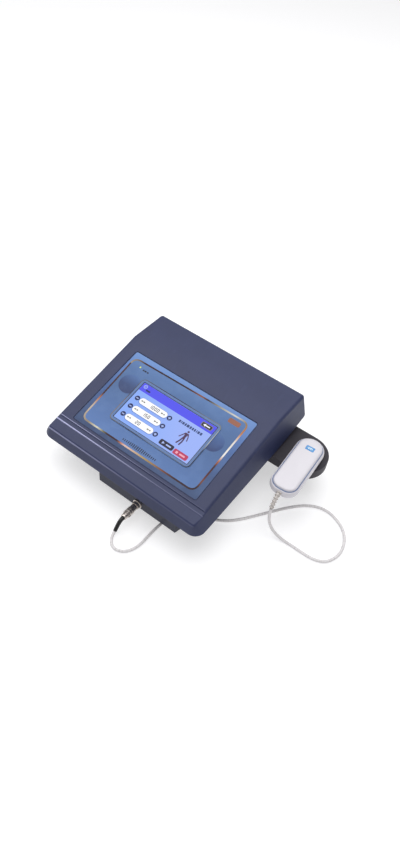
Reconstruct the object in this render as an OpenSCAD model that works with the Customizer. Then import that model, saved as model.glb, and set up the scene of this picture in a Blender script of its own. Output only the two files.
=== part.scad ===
// Desk-top ultrasound therapy unit: a wedge-shaped console on a hidden pedestal, a probe holder on its
// right side, and a corded treatment handset that rests head down in the holder's cup.
// Modelled with x across the console, y from the front lip to the back and z up from the desk top.

/* [Console] */
// Width of the console over its top edges
top_w = 300; // [296:1:304]
// Depth of the console from the front lip's edge to the back edge of the top
top_d = 292; // [288:1:294]
// Height of the front lip's edge above the desk
lip_h = 77.3; // [75:0.1:79]
// Slope of the operating panel
panel_slope = 13.2; // [12.6:0.1:13.8]
// Distance from the front lip to the crease where the panel ends
crease_y = 217; // [212:1:222]
// How far the side walls flare out on the way down to the rim
flare = 10; // [8:1:12]
// How much further the top reaches to each side behind the lip
back_flare = 2; // [0:0.5:3]
// Wall thickness of the two case shells
wall = 2.6; // [2.2:0.1:3]
// Radius of the rim's front corners in plan
rim_r = 18; // [14:1:20]
// Radius of the rim's rear corners in plan
rim_back_r = 11; // [9:1:16]
// Radius of the top edges
edge_r = 6; // [5:0.5:7]

/* [Pedestal] */
// Half the width of the pedestal below the rim
ped_half_w = 128; // [126:1:130]
// Front face of the pedestal
ped_front = 30; // [28:1:34]
// Rear face of the pedestal, which carries the mains inlet
ped_back = 280; // [278:1:282]
// Height of the case's underside above the desk
base_z = 8; // [8:0.5:9]
// Left side of the connector bay in the front
bay_left = -53; // [-56:1:-49]
// Right side of the connector bay in the front
bay_right = 113; // [109:1:115]
// Front face of the connector bay
bay_front = 11; // [10:1:12]

/* [Panel] */
// Half the width of the printed fascia
fascia_half_w = 125.5; // [124:0.5:127]
// Lower edge of the fascia, measured up the slope from the lip
fascia_low = 35; // [34:0.5:37]
// Upper edge of the fascia, measured up the slope from the lip
fascia_high = 198; // [195:0.5:200]
// Width of the display's visible area
screen_w = 152; // [150:1:154]
// Height of the display's visible area
screen_h = 81; // [79:1:83]
// Middle of the display, to the right of the console's centreline
screen_x = 2; // [0:0.5:3]
// Middle of the display, measured up the slope from the lip
screen_s = 115.5; // [114:0.5:117]

/* [Output connector] */
// Position of the output socket across the console
socket_x = 34; // [32:1:36]
// Height of the output socket above the desk
socket_z = 19; // [18.5:0.5:19.5]

/* [Probe holder] */
// Middle of the holder's round end, across the console
holder_x = 196; // [194:1:198]
// Middle of the holder's round end, from the front lip
holder_y = 238; // [236:1:240]
// Radius of the holder's round end
holder_r = 41; // [40:0.5:42]
// Height of the holder's top face above the desk
holder_top = 65; // [64:0.5:66]
// Thickness of the holder
holder_t = 19; // [18:0.5:20]

/* [Handset] */
// Position of the treatment head across the console
head_x = 204; // [203:0.5:205]
// Position of the treatment head from the front lip
head_y = 236; // [235:0.5:237]
// How far the handle turns from straight ahead
handset_turn = 3.9; // [3:0.1:5]
// Width of the handset's body
handset_w = 49; // [47:0.5:50]
// Distance from the treatment head's middle to the tail of the body
handset_tail = 102.5; // [100:0.5:104]
// Underside of the handset's body above the desk
handset_z = 67.5; // [67:0.5:68]
// Thickness of the handset's body
handset_t = 19.5; // [19:0.5:20]
// Diameter of the treatment head's face
head_d = 38; // [36:0.5:38]
// How far the treatment head stands out below the body
head_drop = 15.5; // [15:0.5:15.5]

/* [Cable] */
// Diameter of the probe cable
cable_d = 5; // [4.8:0.1:5.2]

/* [Hidden] */

eps = 0.02;
gap = 0.3;

// Console outline, from the side
rim_front = -4;
rim_back = 300;
rim_front_z = 57;
rim_mid_y = 195;
rim_mid_z = 68;
rim_back_z = 85;
top_z = lip_h + crease_y * tan(panel_slope);
back_top_z = top_z + 0.9;
rim_half_w = top_w / 2 + flare;

// The whole part stands with the middle of its footprint, console and holder together, over the origin
holder_end = holder_x + holder_r;
origin_x = (holder_end - rim_half_w) / 2;
origin_y = (rim_front + rim_back) / 2;

// Steps across the front lip
step1_y = 20;
step2_y = 28;
lip_slope = 8;
step1_rise = 0.9;

// Operating panel pieces, measured from the panel's own surface
recess = 1.2;
fascia_t = 0.8;
fascia_r = 4;
bezel_w = 163;
bezel_h = 92;
bezel_t = 1.0;
glass_t = 1.1;
glass_frame = 3;
lcd_t = 5;
lcd_w = 165;
lcd_h = 100;
lcd_gap = 0.3;
led_x = -99;
led_s = 175;
led_r = 1.5;

// Plate that closes the upper case from below
rim_step = 0.6;
rim_inset = wall + 2.4;

// Inside the pedestal
floor_z = base_z + wall;
board_t = 1.6;
standoff_h = 8;
board_z = floor_z + standoff_h;
main_board_at = [-25, 50];
main_board_size = [120, 84];
amp_board_at = [5, 152];
amp_board_size = [100, 96];
psu_at = [-108, 140];
psu_size = [100, 88];
board_hole_inset = 5;
screw_r = 1.5;
pan_head_r = 2.8;
pan_head_t = 2;

// Case fixings
post_at = [[-116, 82], [116, 82], [-116, 200], [116, 176]];
post_r = 5;
boss_r = 5.4;
post_split_z = 54;
screw_seat = 4;
case_screw_l = 14;
case_screw_r = 1.75;
foot_at = [[-112, 44], [114, 42], [-112, 264], [112, 264]];
foot_r = 9;

// Output connector, along -y
ring_r = 8.5;
ring_t = 3;
barrel_r = 7;
plug_r = 5.75;
plug_l = 39;
plug_end_y = -25;
cap_r = 5.3;
cap_l = 6.5;
waist_r = 4.95;
waist_end = 20;
nut_r = 6.5;

// Mains side, on the pedestal's back wall
inlet_x = -80;
inlet_z = 46;
inlet_flange = [50, 28];
inlet_body = [28, 20.5];
inlet_well = [24, 16.4];
inlet_depth = 16;
switch_x = -25;
switch_z = 46;
switch_frame_size = [21, 15];
rocker_size = [16, 10];
rocker_tilt = 10;
rocker_r = 7;
rocker_pin_r = 1.2;
rocker_pin_fit = 0.06;
fuse_x = 15;
fuse_z = 46;
fuse_r = 6.3;
fuse_cap_r = 7.5;

// Holder
holder_bolt_y = [212, 266];
holder_bolt_z = 56;
holder_arm_back = holder_y + holder_r;
holder_arm_front = holder_y - holder_r;
cup_r = 22;
cup_floor_z = holder_top - 16;
liner_t = 2.7;

// Handset, from the desk up
skin = 2;
shell_top_z = handset_z + 14.5;
gasket_t = 1;
cover_z = shell_top_z + gasket_t;
handset_top_z = handset_z + handset_t;
head_face_z = handset_z - head_drop;
tail_r = 20;

// Strain relief and cable ends
relief_points = [[210.6, 138.6, 77], [210.9, 133.7, 77], [211, 133.4, 77], [211.6, 128, 76.2],
    [212.5, 121, 73],
    [213.3, 115.8, 68.4], [214, 112.4, 62.6]];
relief_radii = [3.8, 3.8, 4.6, 4.3, 3.9, 3.5, 3.2];
boot_points = [[34, -25.1, 19], [34, -28, 19], [34.1, -32, 18], [34.5, -37, 15], [35.1, -42, 11.4],
    [35.8, -46.5, 8]];
boot_radii = [3.6, 3.6, 3.5, 3.4, 3.2, 3.1];

// Route of the probe cable over the desk, from the strain relief to the boot
cable_route = [[214.1, 112, 61.8], [214.4, 110.6, 53], [215.4, 110, 42], [218, 110, 30], [224, 110.6, 18],
    [234, 111.6, 9], [247, 112.6, 4], [262, 113.6, 2.6], [278, 113.6, 2.6], [294, 114, 2.6],
    [308, 117, 2.6], [319, 124, 2.6], [326, 136, 2.6], [329, 150, 2.6], [327, 166, 2.6],
    [320, 182, 2.6], [308, 195, 2.6], [293, 203, 2.6], [278, 207, 2.6], [263, 206, 2.6],
    [249, 200, 2.6], [235, 189, 2.6], [222, 174, 2.6], [211, 159, 2.6], [201, 144, 2.6],
    [191, 129, 2.6], [181, 114, 2.6], [170, 99, 2.6], [158, 86, 2.6], [144, 76, 2.6],
    [130, 68, 2.6], [115, 61, 2.6], [101, 53, 2.6], [90, 42, 2.6], [83, 28, 2.6],
    [80, 12, 2.6], [79, -4, 2.6], [79, -20, 2.6], [79, -36, 2.6], [76, -50, 2.6],
    [69, -61, 2.6], [58, -67, 2.6], [47, -65.6, 2.7], [39.6, -58.6, 3.3], [36.6, -52.4, 5],
    [35.9, -47, 7.6]];

// Lead from the output socket to the amplifier, and the mains wires
rf_route = [[34, 41.2, 19], [34, 46, 19.4], [36, 52, 25], [46, 60, 34], [62, 78, 38],
    [72, 104, 38], [74, 126, 36],
    [70, 144, 27], [66, 155.4, 23]];
mains_route_1 = [[-87, 257.6, 45], [-87, 252, 44], [-85, 244, 36], [-81, 236, 28], [-78, 226.6, 23.4]];
mains_route_2 = [[-73, 257.6, 45], [-73, 250, 46], [-62, 243, 50], [-44, 243, 50], [-31, 250, 47],
    [-29, 262.6, 46]];
mains_route_3 = [[-21, 262.6, 46], [-21, 250, 47], [-14, 241, 48], [2, 238, 48], [13, 241, 47],
    [15, 249.4, 46]];

// Helpers

// Points of an arc, in order, around c from angle a0 to a1
function arc(c, r, a0, a1, n) = [for (i = [0:n]) c + r * [cos(a0 + (a1 - a0) * i / n),
    sin(a0 + (a1 - a0) * i / n)]];

// Outline of a rounded rectangle around the origin
function round_box(w, h, r, n = 6) = concat(
    arc([w / 2 - r, h / 2 - r], r, 0, 90, n),
    arc([r - w / 2, h / 2 - r], r, 90, 180, n),
    arc([r - w / 2, r - h / 2], r, 180, 270, n),
    arc([w / 2 - r, r - h / 2], r, 270, 360, n));

// Outline of the handset: round at the head, with rounded corners at the tail
function paddle(inset, n = 16) = concat(
    arc([0, 0], handset_w / 2 - inset, 0, 180, n),
    arc([tail_r - handset_w / 2, tail_r - handset_tail], tail_r - inset, 180, 270, n / 2),
    arc([handset_w / 2 - tail_r, tail_r - handset_tail], tail_r - inset, 270, 360, n / 2));

// A smooth curve through points, with one more point put between each two
function at_end(p, i) = p[max(0, min(len(p) - 1, i))];
function between(p, i) = (9 * (p[i] + p[i + 1]) - at_end(p, i - 1) - at_end(p, i + 2)) / 16;
function smooth(p) = [for (i = [0:2 * len(p) - 2]) i % 2 == 0 ? p[i / 2] : between(p, (i - 1) / 2)];

// Ring of a tube around point i of the path
lean = [0.6, 0.55, 0.58];
function unit(v) = v / norm(v);
function heading(p, i) = unit(at_end(p, i + 1) - at_end(p, i - 1));
function side(p, i) = unit(cross(heading(p, i), lean));
function ring(p, i, r, n) = [for (k = [0:n - 1])
    p[i] + r * (cos(360 * k / n) * side(p, i) + sin(360 * k / n) * cross(heading(p, i), side(p, i)))];
function radius_at(r, i) = is_list(r) ? r[i] : r;

// Every position in the part, from the console's own frame to the standing part's origin
module placed() {
    translate([-origin_x, -origin_y, 0]) children();
}

// Puts pieces on the operating panel: x across, y up the slope, z out of the panel
module on_panel() {
    translate([0, 0, lip_h]) rotate([panel_slope, 0, 0]) children();
}

// Puts pieces on the handset: x across, -y towards the tail
module on_handset() {
    translate([head_x, head_y, 0]) rotate([0, 0, handset_turn]) children();
}

// Lays an upright piece down so that its own +z points to the back of the console
module facing_back() {
    rotate([-90, 0, 0]) children();
}

// A tube along a path, round and closed at both ends
module tube(p, r, n) {
    points = [for (i = [0:len(p) - 1]) each ring(p, i, radius_at(r, i), n)];
    sides = [for (i = [0:len(p) - 2]) for (k = [0:n - 1])
        each [[i * n + k, (i + 1) * n + (k + 1) % n, i * n + (k + 1) % n],
              [i * n + k, (i + 1) * n + k, (i + 1) * n + (k + 1) % n]]];
    caps = [[for (k = [0:n - 1]) k], [for (k = [0:n - 1]) len(p) * n - 1 - k]];
    polyhedron(points, concat(sides, caps), convexity = 8);
}

// A rounded plate around the origin, from z to z + t
module plate(w, h, r, z, t, n = 6) {
    translate([0, 0, z]) linear_extrude(t) polygon(round_box(w, h, r, n));
}

// A pan-head screw with its head at the top, standing on z = 0
module pan_screw(r, length, head_r, head_t) {
    translate([0, 0, -length]) cylinder(r = r, h = length + eps, $fn = 24);
    difference() {
        cylinder(r = head_r, h = head_t, $fn = 32);
        translate([-head_r * 0.6, -head_r * 0.12, head_t * 0.5])
            cube([head_r * 1.2, head_r * 0.24, head_t]);
        translate([-head_r * 0.12, -head_r * 0.6, head_t * 0.5])
            cube([head_r * 0.24, head_r * 1.2, head_t]);
    }
}

// Corners of a circuit board, where its screws go
function board_corners(at, size) = [for (i = [0, 1]) for (j = [0, 1])
    [at[0] + (i == 0 ? board_hole_inset : size[0] - board_hole_inset),
     at[1] + (j == 0 ? board_hole_inset : size[1] - board_hole_inset)]];
all_board_corners = concat(board_corners(main_board_at, main_board_size),
    board_corners(amp_board_at, amp_board_size), board_corners(psu_at, psu_size));

// A bare circuit board with its four screw holes
module bare_board(at, size) {
    difference() {
        translate([at[0], at[1], board_z]) cube([size[0], size[1], board_t]);
        for (c = board_corners(at, size)) {
            translate([c[0], c[1], board_z - 1]) cylinder(r = screw_r + 0.2, h = board_t + 2, $fn = 24);
        }
    }
}

// Case

// The closed wedge of the upper case, with every face moved in by inset and its rim moved down by drop
module wedge(inset, drop) {
    r = edge_r - inset * 0.6;
    hull() {
        for (s = [-1, 1]) {
            translate([s * (top_w / 2 - inset - r), inset + r, lip_h - inset - r]) sphere(r = r, $fn = 32);
            translate([s * (top_w / 2 + back_flare - inset - r), crease_y, top_z - inset - r])
                sphere(r = r, $fn = 32);
            translate([s * (top_w / 2 + back_flare - inset - r), top_d - inset - r, back_top_z - inset - r])
                sphere(r = r, $fn = 32);
            translate([s * (rim_half_w - rim_r), rim_front + rim_r, rim_front_z - drop])
                cylinder(r = rim_r - inset, h = 1, $fn = 32);
            translate([s * (rim_half_w - rim_r), rim_mid_y, rim_mid_z - drop])
                cylinder(r = rim_r - inset, h = 1, $fn = 32);
            translate([s * (rim_half_w - rim_back_r), rim_back - rim_back_r, rim_back_z - drop])
                cylinder(r = rim_back_r - inset, h = 1, $fn = 32);
        }
    }
}

// What is cut off the front of the wedge to leave the stepped lip
module lip_cut() {
    z1 = lip_h + step1_y * tan(lip_slope);
    z2 = z1 + step1_rise + (step2_y - step1_y) * tan(lip_slope);
    rotate([90, 0, 90]) translate([0, 0, -rim_half_w - 1]) linear_extrude(2 * rim_half_w + 2)
        polygon([[-8, lip_h - 8 * tan(lip_slope)], [step1_y, z1], [step1_y + 0.6, z1 + step1_rise],
            [step2_y, z2], [step2_y + 0.7, lip_h + (step2_y + 0.7) * tan(panel_slope) + 0.01],
            [step2_y + 0.7, 140], [-8, 140]]);
}

module top_shell() {
    color([0.30, 0.32, 0.44]) placed() {
        difference() {
            wedge(0, 0);
            wedge(wall, 1.5);
            lip_cut();
            on_panel() translate([0, (fascia_low + fascia_high) / 2, 0])
                plate(2 * fascia_half_w + 0.6, fascia_high - fascia_low + 0.6, fascia_r + 0.3, -recess, 6);
            on_panel() translate([screen_x, screen_s, 0]) plate(lcd_w - 8, lcd_h - 8, 3, -8, 12);
            on_panel() translate([led_x, led_s, -8]) cylinder(r = led_r + 0.1, h = 12, $fn = 32);
        }
        for (p = post_at) {
            difference() {
                translate([p[0], p[1], post_split_z])
                    cylinder(r = post_r, h = lip_h + p[1] * tan(panel_slope) - wall - post_split_z,
                        $fn = 32);
                translate([p[0], p[1], post_split_z - 1]) cylinder(r = case_screw_r, h = 20, $fn = 32);
            }
        }
    }
}

// Side outline of the plate that closes the upper case from below, between its rim and the pedestal
rim_side = [[rim_front, rim_front_z], [rim_front + 2 * rim_r, rim_front_z], [rim_mid_y + rim_r, rim_mid_z],
    [rim_back, rim_back_z]];
function rim_line(up) = [for (p = rim_side) p + [0, up]];

module rim_plate() {
    intersection() {
        rotate([90, 0, 90]) translate([0, 0, -rim_half_w]) linear_extrude(2 * rim_half_w)
            polygon(concat(rim_line(rim_step), [for (i = [3:-1:0]) rim_line(rim_step + wall)[i]]));
        translate([0, 0, 40]) linear_extrude(60) hull() {
            for (s = [-1, 1]) {
                translate([s * (rim_half_w - rim_inset + wall - rim_r), rim_front + rim_inset - wall + rim_r])
                    circle(r = rim_r - wall, $fn = 32);
                translate([s * (rim_half_w - rim_inset + wall - rim_back_r),
                    rim_back - rim_inset + wall - rim_back_r]) circle(r = rim_back_r - wall, $fn = 32);
            }
        }
    }
}

// Outline of the pedestal, with the bay that comes forward under the lip
module pedestal_outline(inset) {
    polygon(concat(
        [[-ped_half_w + inset, ped_front + inset], [bay_left + inset, ped_front + inset]],
        [[bay_left + inset + 4, bay_front + inset], [bay_right - inset - 4, bay_front + inset]],
        [[bay_right - inset, ped_front + inset], [ped_half_w - inset, ped_front + inset]],
        arc([ped_half_w - 8, ped_back - 8], 8 - inset, 0, 90, 4),
        arc([8 - ped_half_w, ped_back - 8], 8 - inset, 90, 180, 4)));
}

// Everything below the rim plate's upper face
module below_rim(up) {
    rotate([90, 0, 90]) translate([0, 0, -rim_half_w]) linear_extrude(2 * rim_half_w)
        polygon(concat([[rim_front, -1]], rim_line(up), [[rim_back, -1]]));
}

module vent_slots() {
    for (i = [0:8]) {
        translate([-56 + i * 14, ped_back - wall - 4, 18]) cube([8, 10, 2.4]);
        translate([-56 + i * 14, ped_back - wall - 4, 24]) cube([8, 10, 2.4]);
        translate([-ped_half_w - 2, 96 + i * 14, 24]) cube([10, 8, 2.4]);
        translate([-ped_half_w - 2, 96 + i * 14, 30]) cube([10, 8, 2.4]);
    }
}

module bottom_shell() {
    color([0.17, 0.18, 0.25]) placed() {
        difference() {
            union() {
                rim_plate();
                intersection() {
                    translate([0, 0, base_z]) linear_extrude(90) pedestal_outline(0);
                    below_rim(rim_step + wall);
                }
            }
            translate([0, 0, floor_z]) linear_extrude(90) pedestal_outline(wall);
            vent_slots();
            translate([socket_x, bay_front - 2, socket_z]) facing_back() cylinder(r = 6.2, h = 8, $fn = 48);
            translate([inlet_x - inlet_body[0] / 2 - 0.3, ped_back - 8, inlet_z - inlet_body[1] / 2 - 0.3])
                cube([inlet_body[0] + 0.6, 12, inlet_body[1] + 0.6]);
            translate([switch_x - 9.3, ped_back - 8, switch_z - 6.3]) cube([18.6, 12, 12.6]);
            translate([fuse_x, ped_back - 8, fuse_z]) facing_back()
                cylinder(r = fuse_r + 0.2, h = 12, $fn = 48);
            for (y = holder_bolt_y) {
                translate([ped_half_w - 6, y, holder_bolt_z]) rotate([0, 90, 0])
                    cylinder(r = 2.2, h = 10, $fn = 32);
            }
            for (p = foot_at) {
                translate([p[0], p[1], base_z - 1]) cylinder(r = 1.7, h = wall + 2, $fn = 24);
            }
            for (p = post_at) {
                translate([p[0], p[1], base_z - 1]) cylinder(r = 3.8, h = 6, $fn = 32);
            }
        }
        for (p = post_at) {
            difference() {
                translate([p[0], p[1], floor_z - eps])
                    cylinder(r = boss_r, h = post_split_z - floor_z - 0.1, $fn = 32);
                translate([p[0], p[1], floor_z - 1])
                    cylinder(r = 3.8, h = post_split_z - screw_seat - floor_z + 1, $fn = 32);
                translate([p[0], p[1], floor_z - 1]) cylinder(r = 1.95, h = post_split_z, $fn = 24);
            }
        }
    }
}

module case_screws() {
    color("silver") placed() {
        for (p = post_at) {
            translate([p[0], p[1], post_split_z - screw_seat - 0.02]) rotate([180, 0, 0])
                pan_screw(1.7, case_screw_l, 3.4, 1.6);
        }
    }
}

module rubber_feet() {
    color([0.08, 0.08, 0.09]) placed() {
        for (p = foot_at) {
            translate([p[0], p[1], 0]) difference() {
                rotate_extrude($fn = 48)
                    polygon([[0, 0], [foot_r - 1, 0], [foot_r, 1.5], [foot_r - 1.2, base_z], [0, base_z]]);
                translate([0, 0, -1]) cylinder(r = 4, h = 4.5, $fn = 32);
                translate([0, 0, -1]) cylinder(r = 1.7, h = base_z + 2, $fn = 24);
            }
        }
    }
}

module foot_screws() {
    color("silver") placed() {
        for (p = foot_at) {
            translate([p[0], p[1], 3.4]) rotate([180, 0, 0]) pan_screw(screw_r, 9.5, pan_head_r, 1.8);
        }
    }
}

module rating_plate() {
    color([0.75, 0.76, 0.78]) placed() {
        translate([62, ped_back, 48]) rotate([-90, 0, 0]) plate(50, 28, 3, 0, 0.4);
    }
}

// Operating panel

module fascia_overlay() {
    color([0.38, 0.52, 0.72]) placed() on_panel() {
        translate([0, (fascia_low + fascia_high) / 2, 0]) difference() {
            plate(2 * fascia_half_w, fascia_high - fascia_low, fascia_r, -recess, fascia_t);
            translate([screen_x, screen_s - (fascia_low + fascia_high) / 2, 0])
                plate(bezel_w - 8, bezel_h - 8, 1.2, -4, 8);
            translate([led_x, led_s - (fascia_low + fascia_high) / 2, -4])
                cylinder(r = led_r + 0.1, h = 8, $fn = 32);
        }
    }
}

module display_bezel() {
    color([0.16, 0.18, 0.26]) placed() on_panel() translate([screen_x, screen_s, 0]) difference() {
        plate(bezel_w, bezel_h, 9, fascia_t - recess, bezel_t, 8);
        plate(screen_w, screen_h, 1.5, -4, 8);
        plate(screen_w + glass_frame, screen_h + glass_frame, 2, -4, 4);
    }
}

module touch_glass() {
    color([0.62, 0.70, 0.98]) placed() on_panel() translate([screen_x, screen_s, 0])
        plate(screen_w + glass_frame - 0.6, screen_h + glass_frame - 0.6, 1.7, -glass_t - 0.1, glass_t);
}

module lcd_panel() {
    color([0.25, 0.26, 0.30]) placed() on_panel() translate([screen_x, screen_s, 0]) {
        plate(lcd_w - 9, lcd_h - 9, 2, -glass_t - lcd_gap - 3, 3);
        plate(lcd_w, lcd_h, 2, -glass_t - lcd_gap - 3 - lcd_t, lcd_t);
    }
}

lcd_back = -glass_t - lcd_gap - 3 - lcd_t;
display_board_z = lcd_back - 6;
display_hole = [70, 38];

module display_board() {
    color([0.05, 0.32, 0.16]) placed() on_panel() translate([screen_x, screen_s, 0]) {
        difference() {
            plate(154, 90, 2, display_board_z - board_t, board_t);
            for (i = [-1, 1]) {
                for (j = [-1, 1]) {
                    translate([i * display_hole[0], j * display_hole[1], display_board_z - 4])
                        cylinder(r = 1.7, h = 8, $fn = 24);
                }
            }
        }
        translate([-20, -8, display_board_z - board_t - 1.4]) cube([16, 16, 1.42]);
        translate([14, -6, display_board_z - board_t - 1.2]) cube([20, 12, 1.22]);
    }
}

module display_standoffs() {
    color("goldenrod") placed() on_panel() translate([screen_x, screen_s, 0]) {
        for (i = [-1, 1]) {
            for (j = [-1, 1]) {
                translate([i * display_hole[0], j * display_hole[1], display_board_z])
                    cylinder(r = 2.8, h = 6, $fn = 6);
                translate([i * display_hole[0], j * display_hole[1], display_board_z - board_t - 1.2])
                    cylinder(r = screw_r, h = 6, $fn = 24);
                translate([i * display_hole[0], j * display_hole[1], display_board_z - board_t - 2])
                    cylinder(r = pan_head_r, h = 2, $fn = 32);
            }
        }
    }
}

module power_led() {
    color([0.70, 0.86, 0.30]) placed() on_panel() translate([led_x, led_s, 0]) {
        translate([0, 0, -6]) cylinder(r = led_r, h = 6.1, $fn = 32);
        translate([0, 0, -7.5]) cylinder(r = led_r + 0.8, h = 2, $fn = 32);
    }
}

// A flat ribbon hanging from the display board to the main board
module display_ribbon() {
    ribbon = [[132, 90.2], [132, 70], [131, 54], [127, 38], [126, 20.4]];
    back = [[126.5, 20.4], [127.5, 38], [131.5, 54], [132.5, 70], [132.5, 90.2]];
    color([0.78, 0.76, 0.70]) placed() translate([-10, 0, 0]) rotate([90, 0, 90]) linear_extrude(26)
        polygon(concat(ribbon, back));
}

// Circuit boards and power parts

module chip(at, size) {
    translate([at[0], at[1], board_z + board_t - eps]) cube(size);
}

module main_board() {
    color([0.06, 0.36, 0.20]) placed() {
        bare_board(main_board_at, main_board_size);
        chip([10, 80], [18, 18, 1.6]);
        chip([40, 86], [10, 12, 1.4]);
        chip([-10, 62], [14, 8, 1.4]);
        chip([60, 112], [26, 8, 6]);
        chip([-18, 92], [9, 20, 8]);
        for (i = [0:3]) {
            translate([44 + i * 9, 66, board_z + board_t - eps]) cylinder(r = 3, h = 8, $fn = 32);
        }
    }
}

module board_standoffs() {
    color("goldenrod") placed() {
        for (c = all_board_corners) {
            translate([c[0], c[1], floor_z]) difference() {
                cylinder(r = 3, h = standoff_h, $fn = 6);
                translate([0, 0, 1]) cylinder(r = screw_r, h = standoff_h, $fn = 24);
            }
        }
    }
}

module board_screws() {
    color("silver") placed() {
        for (c = all_board_corners) {
            translate([c[0], c[1], board_z + board_t]) pan_screw(screw_r, 6, pan_head_r, pan_head_t);
        }
    }
}

module buzzer() {
    color([0.10, 0.10, 0.11]) placed() translate([84, 92, board_z + board_t]) difference() {
        cylinder(r = 6, h = 9.5, $fn = 40);
        translate([0, 0, 7]) cylinder(r = 1.2, h = 5, $fn = 24);
    }
}

module power_supply() {
    color([0.10, 0.30, 0.16]) placed() {
        bare_board(psu_at, psu_size);
        for (i = [0:1]) {
            translate([-34, 154 + i * 22, board_z + board_t - eps]) cylinder(r = 8, h = 26, $fn = 40);
        }
        chip([-104, 150], [16, 12, 14]);
        chip([-80, 146], [26, 10, 8]);
        chip([-40, 198], [16, 20, 10]);
        chip([-84, 219], [12, 6, 6]);
    }
}

module transformer() {
    color([0.62, 0.36, 0.14]) placed() translate([-100, 168, board_z + board_t]) {
        cube([52, 8, 44]);
        translate([0, 32, 0]) cube([52, 8, 44]);
        translate([0, 8 - eps, 0]) cube([8, 24 + 2 * eps, 44]);
        translate([44, 8 - eps, 0]) cube([8, 24 + 2 * eps, 44]);
        translate([10, 8.4, 4]) cube([32, 23.2, 36]);
    }
}

module amplifier_board() {
    color([0.06, 0.34, 0.22]) placed() {
        bare_board(amp_board_at, amp_board_size);
        chip([60, 157], [12, 8, 5]);
        chip([20, 160], [20, 14, 10]);
        for (i = [0:2]) {
            translate([88, 178 + i * 22, board_z + board_t - eps]) difference() {
                cylinder(r = 9, h = 9, $fn = 40);
                translate([0, 0, 2]) cylinder(r = 4, h = 12, $fn = 32);
            }
        }
    }
}

module heat_sink() {
    color([0.72, 0.73, 0.75]) placed() translate([20, 184, board_z + board_t]) {
        cube([52, 50, 4]);
        for (i = [0:6]) {
            translate([i * 8.3, 0, 4 - eps]) cube([2.2, 50, 24]);
        }
    }
}

module rf_lead() {
    color([0.12, 0.12, 0.13]) placed() tube(smooth(rf_route), 1.6, 8);
}

module mains_wires() {
    color([0.55, 0.30, 0.16]) placed() {
        tube(smooth(mains_route_1), 1.2, 8);
        tube(smooth(mains_route_2), 1.2, 8);
        tube(smooth(mains_route_3), 1.2, 8);
    }
}

// Output connector

module output_socket() {
    color([0.78, 0.76, 0.74]) placed() translate([socket_x, 0, socket_z]) facing_back() difference() {
        union() {
            translate([0, 0, bay_front - ring_t]) cylinder(r = ring_r, h = ring_t, $fn = 64);
            translate([0, 0, 3]) cylinder(r = barrel_r, h = bay_front - ring_t - 3 + eps, $fn = 64);
            translate([0, 0, bay_front - eps]) cylinder(r = 6, h = 22, $fn = 48);
            translate([0, 0, bay_front + 22 - 2 * eps]) cylinder(r = 2, h = 8, $fn = 24);
        }
        translate([0, 0, -1]) cylinder(r = plug_r + 0.05, h = 19, $fn = 64);
    }
}

module socket_nut() {
    color([0.70, 0.68, 0.66]) placed() translate([socket_x, bay_front + wall, socket_z]) facing_back()
        difference() {
        cylinder(r = 9.2, h = 3, $fn = 6);
        translate([0, 0, -1]) cylinder(r = 6.05, h = 5, $fn = 48);
    }
}

module plug_body() {
    color([0.66, 0.65, 0.64]) placed() translate([socket_x, plug_end_y, socket_z]) facing_back()
        rotate_extrude($fn = 64)
            polygon([[0, 0], [cap_r - 0.6, 0], [cap_r, 0.6], [cap_r, cap_l], [waist_r, cap_l],
            [waist_r, waist_end], [plug_r, waist_end], [plug_r, plug_l], [0, plug_l]]);
}

module coupling_nut() {
    color([0.80, 0.79, 0.78]) placed() translate([socket_x, plug_end_y, socket_z]) facing_back()
        difference() {
        translate([0, 0, cap_l + gap]) cylinder(r = nut_r, h = waist_end - cap_l - 2 * gap, $fn = 64);
        translate([0, 0, cap_l - 1]) cylinder(r = waist_r + 0.05, h = waist_end, $fn = 64);
        for (i = [0:23]) {
            rotate([0, 0, i * 15]) translate([nut_r + 0.15, 0, cap_l]) cylinder(r = 0.4, h = 4.4, $fn = 16);
        }
    }
}

module plug_boot() {
    color([0.07, 0.07, 0.08]) placed() tube(boot_points, boot_radii, 12);
}

// Mains side

// The three contact pins, grown by fit on every side
module pins(fit) {
    for (p = [[0, 3], [-7, -1], [7, -1]]) {
        translate([p[0] - 1 - fit, -6 - inlet_depth - fit, p[1] - 2 - fit])
            cube([2 + 2 * fit, 20 + 2 * fit, 4 + 2 * fit]);
    }
}

module mains_inlet() {
    color([0.09, 0.09, 0.10]) placed() translate([inlet_x, ped_back, inlet_z]) difference() {
        union() {
            rotate([-90, 0, 0]) plate(inlet_flange[0], inlet_flange[1], 5, 0, 2);
            translate([-inlet_body[0] / 2, -21, -inlet_body[1] / 2])
                cube([inlet_body[0], 21 + eps, inlet_body[1]]);
        }
        translate([-inlet_well[0] / 2, 2 - inlet_depth, -inlet_well[1] / 2])
            cube([inlet_well[0], inlet_depth + 2, inlet_well[1]]);
        pins(0.03);
        for (s = [-1, 1]) {
            translate([s * 20, -1, 0]) facing_back() cylinder(r = 1.75, h = 4, $fn = 32);
        }
    }
}

module inlet_pins() {
    color([0.85, 0.72, 0.42]) placed() translate([inlet_x, ped_back, inlet_z]) pins(0);
}

module switch_frame() {
    color([0.11, 0.11, 0.12]) placed() translate([switch_x, ped_back, switch_z]) difference() {
        union() {
            rotate([-90, 0, 0]) plate(switch_frame_size[0], switch_frame_size[1], 1.5, 0, 1.8);
            translate([-9, -17, -6]) cube([18, 17 + eps, 12]);
        }
        translate([-rocker_size[0] / 2 - gap, -9, -rocker_size[1] / 2 - gap])
            cube([rocker_size[0] + 2 * gap, 14, rocker_size[1] + 2 * gap]);
        translate([-8.8, -1, 0]) rotate([0, 90, 0]) cylinder(r = rocker_pin_r, h = 17.6, $fn = 32);
    }
}

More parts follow.
